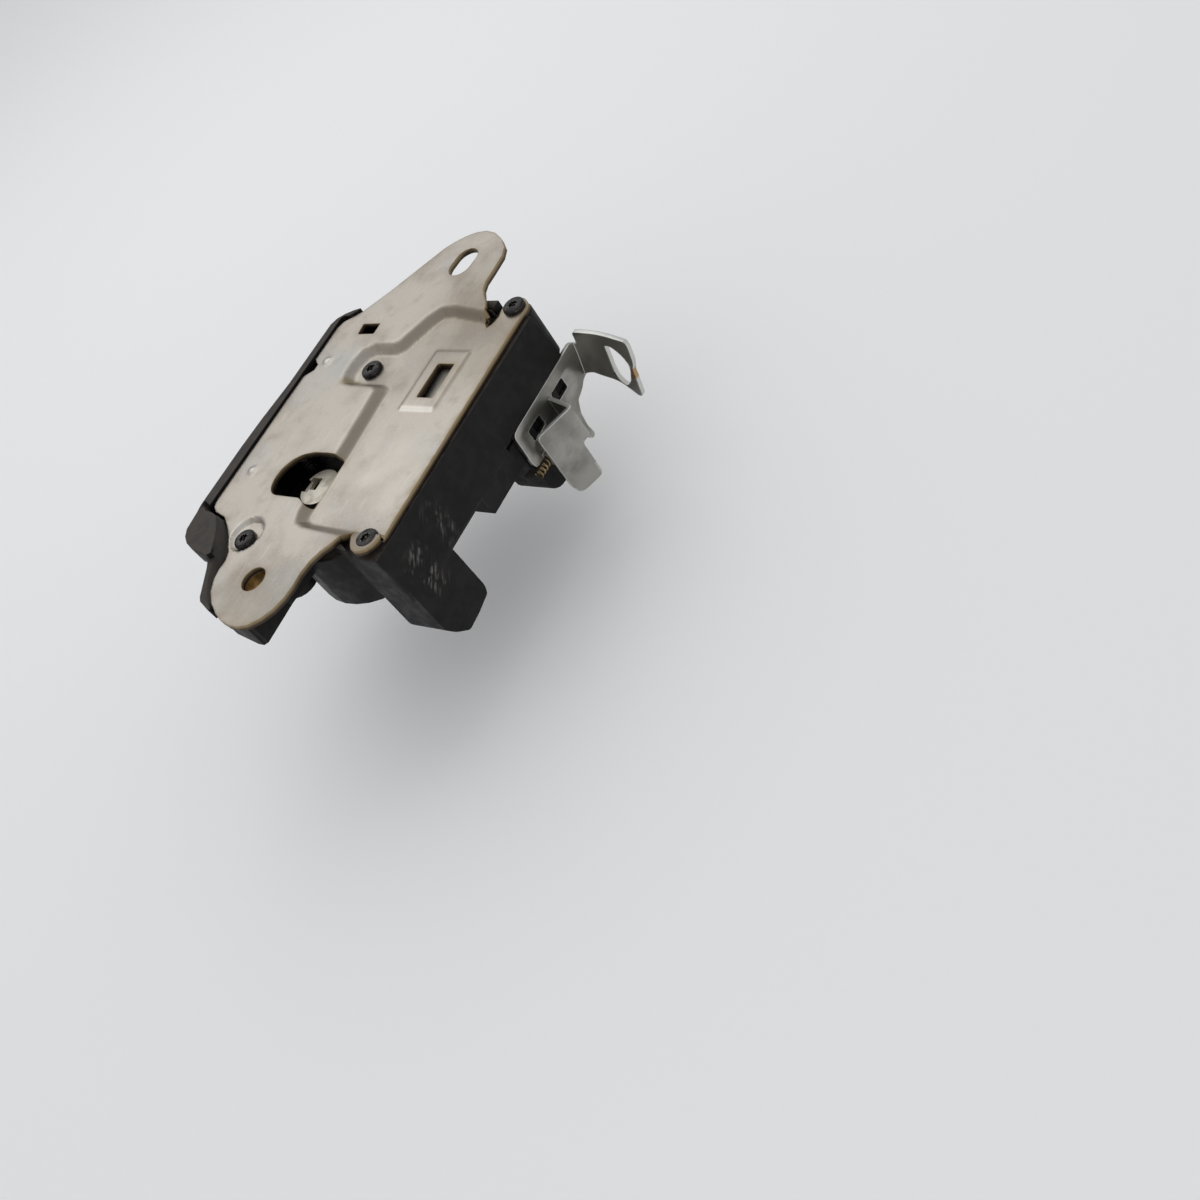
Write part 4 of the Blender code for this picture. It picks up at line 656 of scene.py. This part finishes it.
def thickened(bm, name, thick, round_mm):
    """An object with the sheet's thickness behind its faces and a rounded sheared edge."""
    fronts, faces = list(bm.verts), list(bm.faces)
    rims = [e.link_loops[0] for e in bm.edges if e.is_boundary]
    values = list(bm.verts.layers.float.values())
    behind = {}
    for v in fronts:
        normal = sum((f.normal * f.calc_area() for f in v.link_faces), Vector())
        behind[v] = bm.verts.new(v.co - normal.normalized() * thick * MM)
        for layer in values:
            behind[v][layer] = v[layer]
    quads = [(loop.link_loop_next.vert, loop.vert) for loop in rims]
    for face in faces:
        bm.faces.new([behind[v] for v in reversed(face.verts)])
    for a, b in quads:
        bm.faces.new((a, b, behind[b], behind[a]))
    mesh = bpy.data.meshes.new(name)
    bm.to_mesh(mesh)
    bm.free()
    piece = bpy.data.objects.new(name, mesh)
    scene.collection.objects.link(piece)
    edge = piece.modifiers.new("sheared edge", "BEVEL")
    edge.width = round_mm * MM
    edge.segments = 2
    edge.limit_method = "ANGLE"
    edge.angle_limit = math.radians(55)
    done = evaluated(piece)
    piece.modifiers.clear()
    piece.data = done
    done.shade_smooth()
    done.set_sharp_from_angle(angle=CREASE)
    return piece


def pressed_plate():
    bm = filled([OUTLINE] + HOLES, PLATE_CELL)
    xy = np.array([(v.co.x, v.co.y) for v in bm.verts])
    height, slope_shade_and_tone = plate_height(xy)
    away = np.minimum.reduce([distances(xy, line + line[:1]) for line in [OUTLINE] + HOLES])
    border = np.exp(-away / 0.9) * (0.4 + 0.6 * smooth((-20 - xy[:, 1]) / 6))
    layers = [bm.verts.layers.float.new(name) for name in ("front", "slope_shade_and_tone", "border")]
    for v, z, on_slope_shade_and_tone, by_edge in zip(bm.verts, height, slope_shade_and_tone, border):
        v.co = Vector((v.co.x, v.co.y, z)) * MM
        for layer, value in zip(layers, (z * MM, on_slope_shade_and_tone, by_edge)):
            v[layer] = value
    bmesh.ops.recalc_face_normals(bm, faces=bm.faces)
    if sum(f.normal.z for f in bm.faces) < 0:
        bmesh.ops.reverse_faces(bm, faces=bm.faces)
    plate = thickened(bm, "pressed_plate", PLATE_MM, PLATE_EDGE)
    give(plate, PLATE_FINISH)
    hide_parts("mounting_plate")
    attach(plate, "latch")
    return plate


plate = pressed_plate()
print("plate of", len(plate.data.polygons), "faces")

# %% [markdown]
# ## Moulded and cast pieces, shaded as they are
# The solids are made of loose triangles with hard creases. A merged copy of each piece that shows
# gets smooth shading across small angles and creases across large ones. Weighted Normal lets the
# large flat faces keep their own direction, so only the curved parts turn smoothly. A spring is
# held at one end by the housing and at the other by the piece it pushes, so it blends between both.

# %% Shaded copies
def shaded_copy(name, material, slot_name, body, angle=34.0):
    """A merged, smoothly shaded copy of a solid, riding on a body or blended between two."""
    bm = bmesh.new()
    bm.from_mesh(nodes[name].data)
    bmesh.ops.remove_doubles(bm, verts=bm.verts, dist=0.003 * MM)
    bmesh.ops.dissolve_limit(bm, angle_limit=math.radians(0.3), verts=bm.verts, edges=bm.edges)
    mesh = bpy.data.meshes.new(name + "_shell")
    bm.to_mesh(mesh)
    bm.free()
    piece = bpy.data.objects.new(name + "_shell", mesh)
    scene.collection.objects.link(piece)
    mesh.shade_smooth()
    mesh.set_sharp_from_angle(angle=math.radians(angle))
    weigh = piece.modifiers.new("large faces first", "WEIGHTED_NORMAL")
    weigh.keep_sharp = True
    weigh.weight = 80
    done = evaluated(piece)
    piece.modifiers.clear()
    piece.data = done
    give(piece, material)
    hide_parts(name)
    if isinstance(body, str):
        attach(piece, body)
    else:
        first, last, start, end = body
        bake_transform(piece, first, last, [v * MM for v in start], [v * MM for v in end])


SHADED = [
    ("housing", HOUSING_FINISH, "black_pa", "latch"), ("rear_cap", CAP_FINISH, "black_pa", "latch"),
    ("key_cam", CAST_FINISH, "zinc_cast", "key_cam"), ("ear_sleeve", YELLOW_FINISH, "yellow_steel", "latch"),
    ("claw", PHOSPHATE_FINISH, "dark_steel", "claw"), ("pawl", PHOSPHATE_FINISH, "dark_steel", "pawl"),
    ("claw_bush", GROUND_FINISH, "bright_steel", "latch"),
    ("pawl_pin", GROUND_FINISH, "bright_steel", "latch"),
    ("motor", GROUND_FINISH, "bright_steel", "latch"), ("worm_wheel", POM_FINISH, "pom", "worm_wheel"),
    ("wheel_axle", GROUND_FINISH, "bright_steel", "latch"),
    ("claw_spring", WIRE_FINISH, "spring_steel",
     ("latch", "claw", (19.2, 12.5, -7.0), (19.2, 12.5, -10.9))),
    ("pawl_spring", WIRE_FINISH, "spring_steel",
     ("latch", "pawl", (-16.0, 28.0, -8.2), (-16.0, 28.0, -11.2))),
    ("slider_spring", YELLOW_FINISH, "yellow_steel",
     ("latch", "release_slider", (9.9, -40.1, -39.9), (16.1, -40.1, -39.9))),
]
for row in SHADED:
    shaded_copy(*row)
print("shaded", len(SHADED), "pieces")

# %% [markdown]
# ## The release slider
# A slider of this kind is blanked from zinc-plated sheet, here 1.4 to 1.6 mm, and folded: the
# strip with its two windows lies flat on the latch's side, the strap bows outwards from its end
# with a large eye for the cable, and the tab is folded back over the strip. Each part is drawn
# flat, laid in space by a rule that follows its fold, then given its thickness and rounded edges.

# %% Release slider
STRIP_FRONT = -39.8
THIN, THICK, EDGE_ROUND = 1.4, 1.6, 0.3
NO_GRID = 100.0  # a cell wider than the piece, so that it stays uncut


def laid(name, outline, holes, rule, outward, thick, cell=1.0):
    """A flat outline laid in space by a rule, its thickness behind its outward side."""
    bm = filled([outline] + holes, cell)
    rim = bm.verts.layers.float.new("rim")
    for v in bm.verts:
        v[rim] = float(v.is_boundary and cell < NO_GRID)
        v.co = Vector(rule(v.co.x, v.co.y)) * MM
    bmesh.ops.recalc_face_normals(bm, faces=bm.faces)
    if sum((f.normal for f in bm.faces), Vector()).dot(Vector(outward)) < 0:
        bmesh.ops.reverse_faces(bm, faces=bm.faces)
    return thickened(bm, name, thick, EDGE_ROUND)


STRIP = [(11.9, -24.2), (12.8, -22.9), (15.0, -22.65), (47.0, -22.65), (50.6, -22.7), (52.2, -23.6),
         (52.8, -25.4), (50.9, -35.3), (47.4, -35.7), (44.7, -37.3), (40.8, -38.3), (38.7, -42.3),
         (38.1, -47.3), (38.8, -51.6), (38.0, -52.6), (36.6, -52.3), (35.6, -49.0), (34.8, -45.0),
         (31.6, -38.6), (17.9, -38.2), (12.2, -38.0), (11.5, -36.4)]
WINDOWS = [[(x0, -31.6), (x1, -31.6), (x1, -27.0), (x0, -27.0)]
           for x0, x1 in ((17.4, 24.7), (32.9, 40.2))]
STRAP = [(-38.9, -24.6), (-41.0, -24.4), (-41.3, -19.6), (-45.0, -19.9), (-49.7, -20.4), (-53.1, -21.2),
         (-56.0, -22.2), (-58.8, -23.2), (-60.6, -23.9), (-61.05, -25.4), (-61.1, -28.1), (-61.05, -30.9),
         (-60.7, -32.5), (-60.0, -34.0), (-60.3, -35.9), (-60.3, -38.8), (-60.3, -41.6), (-59.9, -43.0),
         (-58.6, -42.9), (-56.4, -40.6), (-53.9, -38.4), (-51.0, -37.0), (-48.3, -36.3), (-45.7, -35.5),
         (-43.7, -34.8), (-41.8, -34.9), (-38.9, -35.6)]
EYE_HOLE = [(-52.0, -25.0), (-52.2, -28.4), (-52.3, -32.6), (-52.8, -35.7), (-54.0, -38.0), (-55.8, -39.3),
            (-57.6, -37.8), (-58.9, -34.0), (-59.0, -32.2), (-57.7, -29.4), (-56.1, -27.4), (-54.2, -25.6)]
TAB = [(0.4, -27.4), (25.7, -27.5), (26.6, -28.4), (26.6, -50.8), (25.9, -53.4), (24.6, -54.9),
       (23.2, -55.3), (16.5, -55.3), (15.4, -54.2), (15.3, -41.4), (14.6, -40.5), (12.6, -40.4),
       (10.6, -38.6), (0.4, -37.6)]
bow = np.polyfit([-17.0, -24.0, -29.7, -34.3, -39.2, -44.7], [53.9, 53.4, 52.4, 50.8, 49.5, 48.6], 3)
start_xy, corner, end_xy = Vector((32.6, -39.2)), Vector((29.1, -50.9)), Vector((14.6, -44.4))
before, after = (start_xy - corner).normalized() * 2.2, (end_xy - corner).normalized() * 2.2
round_corner = [corner + before * (1 - t) ** 2 + after * t ** 2 for t in np.linspace(0, 1, 7)]
fold = np.array([tuple(p) for p in [start_xy] + round_corner + [end_xy]])
along = np.concatenate(([0.0], np.cumsum(np.linalg.norm(np.diff(fold, axis=0), axis=1))))


BARS = [  # low and high corners in mm: the two that reach the pawl, the finger, the spring's hook
    ((13.1, -39.1, -26.2), (16.6, 2.5, -25.0)), ((-2.25, -2.5, -26.2), (13.6, 2.5, -25.0)),
    ((-2.25, -2.5, -25.6), (-0.85, 2.5, -18.95)), ((16.5, -42.0, -41.6), (17.9, -38.6, -37.0))]


def on_fold(u, z):
    """The place in mm of a point this far along the tab's fold, at this height."""
    return (float(np.interp(u, along, fold[:, 0])), float(np.interp(u, along, fold[:, 1])), z)


def solid_bar(low, high):
    """A square bar from corner to corner, in mm."""
    bm = bmesh.new()
    bmesh.ops.create_cube(bm, size=1.0)
    for v in bm.verts:
        v.co = Vector([(low[i] + high[i]) / 2 + v.co[i] * (high[i] - low[i]) for i in range(3)]) * MM
    mesh = bpy.data.meshes.new("bar")
    bm.to_mesh(mesh)
    bm.free()
    return mesh


def slider():
    leaves = [laid("strip", softened(STRIP, 0.8, 3), [softened(w, 0.7, 3) for w in WINDOWS],
                   lambda x, z: (x, STRIP_FRONT, z), (0, -1, 0), THIN, cell=NO_GRID),
              laid("strap", softened(STRAP, 1.2, 3), [softened(EYE_HOLE, 1.6, 3)],
                   lambda y, z: (float(np.polyval(bow, z)), y, z), (1, 0, 0), THICK),
              laid("tab", softened(TAB, 0.8, 3), [], on_fold, (0.3, -1, 0), THIN)]
    bars = [solid_bar(low, high) for low, high in BARS]
    whole = bmesh.new()
    for mesh in [leaf.data for leaf in leaves] + bars:
        whole.from_mesh(mesh)
    for leaf in leaves:
        bpy.data.objects.remove(leaf)
    mesh = bpy.data.meshes.new("slider_sheet")
    whole.to_mesh(mesh)
    whole.free()
    mesh.set_sharp_from_angle(angle=CREASE)
    piece = bpy.data.objects.new("slider_sheet", mesh)
    scene.collection.objects.link(piece)
    give(piece, SHEET_FINISH)
    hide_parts("release_slider")
    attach(piece, "release_slider")
    return piece


sheet_slider = slider()
print("slider of", len(sheet_slider.data.polygons), "faces")

# %% [markdown]
# ## Screws
# The plate is held by thread-forming screws: a low rounded head with a six-lobed recess, and a
# coarse thread that cuts its own way in the plastic. The same screw repeats, so Geometry Nodes
# puts a turned head, a core and a helical ridge on every seat, from the screw's own sizes.

# %% A helical thread as nodes
ROD_SIZES = (("Core radius", 1.4), ("Thread height", 0.45), ("Pitch", 1.8), ("Length", 12.0))


def socket(tree, name, kind, value=None):
    """A named input of a node tree, with its first value."""
    made = tree.interface.new_socket(name, in_out="INPUT", socket_type="NodeSocket" + kind)
    if value is not None:
        made.default_value = value


def threaded_rod():
    """A round core with a helical ridge, from height 0 to its length."""
    tree = bpy.data.node_groups.new("threaded rod", "GeometryNodeTree")
    for name, value in ROD_SIZES:
        socket(tree, name, "Float", value * MM)
    socket(tree, "Left-handed", "Bool", False)
    tree.interface.new_socket("Geometry", in_out="OUTPUT", socket_type="NodeSocketGeometry")
    sizes = add_node(tree, "NodeGroupInput").outputs
    turns = sums(tree, "DIVIDE", sizes["Length"], sizes["Pitch"])
    helix = add_node(tree, "GeometryNodeCurveSpiral", {"Resolution": 20},
                     {"Rotations": turns, "Start Radius": sizes["Core radius"],
                      "End Radius": sizes["Core radius"], "Height": sizes["Length"],
                      "Reverse": sizes["Left-handed"]}).outputs[0]
    upright = add_node(tree, "GeometryNodeSetCurveNormal", {"mode": "Z_UP"}, {"Curve": helix}).outputs[0]
    ridge = add_node(tree, "GeometryNodeCurvePrimitiveCircle", {"Resolution": 4},
                     {"Radius": sizes["Thread height"]}).outputs[0]
    swept = add_node(tree, "GeometryNodeCurveToMesh", {"Fill Caps": True},
                     {"Curve": upright, "Profile Curve": ridge}).outputs[0]
    core = add_node(tree, "GeometryNodeMeshCylinder", {"Vertices": 32},
                    {"Radius": sizes["Core radius"], "Depth": sizes["Length"]}).outputs["Mesh"]
    middle = sums(tree, "MULTIPLY", sizes["Length"], 0.5)
    half = add_node(tree, "ShaderNodeCombineXYZ", None, {"Z": middle})
    raised = add_node(tree, "GeometryNodeTransform", None,
                      {"Geometry": core, "Translation": half.outputs[0]})
    both = add_node(tree, "GeometryNodeJoinGeometry")
    tree.links.new(swept, both.inputs[0])
    tree.links.new(raised.outputs[0], both.inputs[0])
    add_node(tree, "NodeGroupOutput", None, {"Geometry": both.outputs[0]})
    return tree


ROD = threaded_rod()
print("threaded rod:", len(ROD.nodes), "nodes")


# %% Screws on their seats
def screws_on_points():
    """A head and a threaded rod below it on every point of the geometry."""
    tree = bpy.data.node_groups.new("screws on points", "GeometryNodeTree")
    socket(tree, "Geometry", "Geometry")
    socket(tree, "Head", "Object")
    for name, value in ROD_SIZES:
        socket(tree, name, "Float", value * MM)
    socket(tree, "Material", "Material")
    tree.interface.new_socket("Geometry", in_out="OUTPUT", socket_type="NodeSocketGeometry")
    sizes = add_node(tree, "NodeGroupInput").outputs
    rod = add_node(tree, "GeometryNodeGroup", {"node_tree": ROD},
                   {name: sizes[name] for name, _ in ROD_SIZES})
    down = sums(tree, "MULTIPLY", sizes["Length"], -1.0)
    drop = add_node(tree, "ShaderNodeCombineXYZ", None, {"Z": down})
    below = add_node(tree, "GeometryNodeTransform", None,
                     {"Geometry": rod.outputs[0], "Translation": drop.outputs[0]})
    head = add_node(tree, "GeometryNodeObjectInfo", None, {"Object": sizes["Head"]})
    whole = add_node(tree, "GeometryNodeJoinGeometry")
    tree.links.new(head.outputs["Geometry"], whole.inputs[0])
    tree.links.new(below.outputs[0], whole.inputs[0])
    placed = add_node(tree, "GeometryNodeInstanceOnPoints", None,
                      {"Points": sizes["Geometry"], "Instance": whole.outputs[0]})
    real = add_node(tree, "GeometryNodeRealizeInstances", None, {"Geometry": placed.outputs[0]})
    finished = add_node(tree, "GeometryNodeSetMaterial", None,
                        {"Geometry": real.outputs[0], "Material": sizes["Material"]})
    add_node(tree, "NodeGroupOutput", None, {"Geometry": finished.outputs[0]})
    return tree


def run_tree(name, points, tree, values):
    """Runs a node tree on some points and returns an object with the plain mesh it made."""
    base = bpy.data.meshes.new(name)
    base.from_pydata(points, [], [])
    holder = bpy.data.objects.new(name, base)
    scene.collection.objects.link(holder)
    live = holder.modifiers.new(name, "NODES")
    live.node_group = tree
    for item in tree.interface.items_tree:
        if item.in_out == "INPUT" and item.name in values:
            live[item.identifier] = values[item.name]
    done = evaluated(holder)
    holder.modifiers.clear()
    holder.data = done
    done.shade_smooth()
    done.set_sharp_from_angle(angle=math.radians(40))
    return holder


def lobed_head(radius, height, recess, deep):
    """A low turned head, underside at height 0, with a six-lobed recess."""
    sides = 60
    angles = [2 * math.pi * i / sides for i in range(sides)]
    lobes = [0.87 + 0.13 * math.cos(6 * a) for a in angles]
    rings = [([recess * 0.84 * k for k in lobes], height - deep),
             ([recess * k for k in lobes], height - 0.16),
             ([recess * 1.07 * k for k in lobes], height)]
    for share, z in ((0.66, 1.0), (0.80, 0.955), (0.90, 0.85), (0.965, 0.68), (1.0, 0.45), (1.0, 0.09),
                     (0.97, 0.0), (0.40, 0.0)):
        rings.append(([radius * share] * sides, height * z))
    bm = bmesh.new()
    loops = [[bm.verts.new((r * math.cos(a) * MM, r * math.sin(a) * MM, z * MM))
              for r, a in zip(radii, angles)] for radii, z in rings]
    for low, high in zip(loops, loops[1:]):
        for i in range(sides):
            k = (i + 1) % sides
            bm.faces.new([low[i], low[k], high[k], high[i]])
    bm.faces.new(list(reversed(loops[0])))
    bm.faces.new(loops[-1])
    bmesh.ops.recalc_face_normals(bm, faces=bm.faces)
    mesh = bpy.data.meshes.new("lobed head")
    bm.to_mesh(mesh)
    bm.free()
    return bpy.data.objects.new("lobed head", mesh)


SCREW_TREE = screws_on_points()


def fit_screws(name, replaced, head_height, head_radius, recess, thread, pitch, upside_down=False):
    """Screws on the seats of some CAD screws, all of one length."""
    seats = []
    for node in replaced:
        low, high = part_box(node)
        seat = low.z + head_height * MM if upside_down else high.z - head_height * MM
        length = high.z - seat if upside_down else seat - low.z
        spot = Vector(((low.x + high.x) / 2, (low.y + high.y) / 2, seat))
        seats.append(Vector((spot.x, -spot.y, -spot.z)) if upside_down else spot)
    head = lobed_head(head_radius, head_height, recess, head_height * 0.62)
    scene.collection.objects.link(head)
    made = run_tree(name, seats, SCREW_TREE, {
        "Head": head, "Core radius": (thread - 0.4) * MM, "Thread height": 0.4 * MM,
        "Pitch": pitch * MM, "Length": length, "Material": SCREW_FINISH})
    bpy.data.objects.remove(head)
    if upside_down:
        made.data.transform(Matrix.Rotation(math.pi, 4, "X"))
    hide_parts(*replaced)
    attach(made, "latch")
    print(name, "on", len(seats), "seats, length", round(length * 1000, 1), "mm")


fit_screws("plate_screws_long", ["plate_screw_top", "plate_screw_bottom", "plate_screw_claw"],
           1.7, 3.75, 1.75, 1.88, 1.8)
fit_screws("plate_screw_short", ["plate_screw_ear"], 1.7, 3.75, 1.75, 1.88, 1.8)
fit_screws("cap_screws", ["cap_screw_a", "cap_screw_b", "cap_screw_c"], 1.6, 2.88, 1.35, 1.48, 1.3, True)

# %% [markdown]
# ## The worm
# The solid worm is a plain core. The real one carries a single-start thread whose pitch equals
# the wheel's tooth spacing: 26 turns move the wheel once round. It is right-handed, the hand that
# keeps the thread clear of the teeth at both ends of travel. The same threaded rod makes it.

# %% Worm thread
WHEEL_AXIS = (4.0, -8.0)
WORM_AXIS = (-21.0, -29.5)
PITCH_R = 9.9
TEETH = 26
WORM_CORE, WORM_THREAD, WORM_TURNS = 2.05, 0.90, 5.7
worm_pitch = 2 * math.pi * PITCH_R / TEETH


def worm():
    rod = run_tree("worm_thread", [(0, 0, 0)], ROD, {
        "Core radius": WORM_CORE * MM, "Thread height": WORM_THREAD * MM, "Pitch": worm_pitch * MM,
        "Length": WORM_TURNS * worm_pitch * MM, "Left-handed": False})
    start_x = WHEEL_AXIS[0] - 3 * worm_pitch
    rod.data.transform(Matrix(((0, 0, 1, start_x * MM), (1, 0, 0, WORM_AXIS[0] * MM),
                               (0, 1, 0, WORM_AXIS[1] * MM), (0, 0, 0, 1))))
    give(rod, BRASS_FINISH)
    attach(rod, "motor_worm")


worm()
print("worm pitch", round(worm_pitch, 3), "mm")
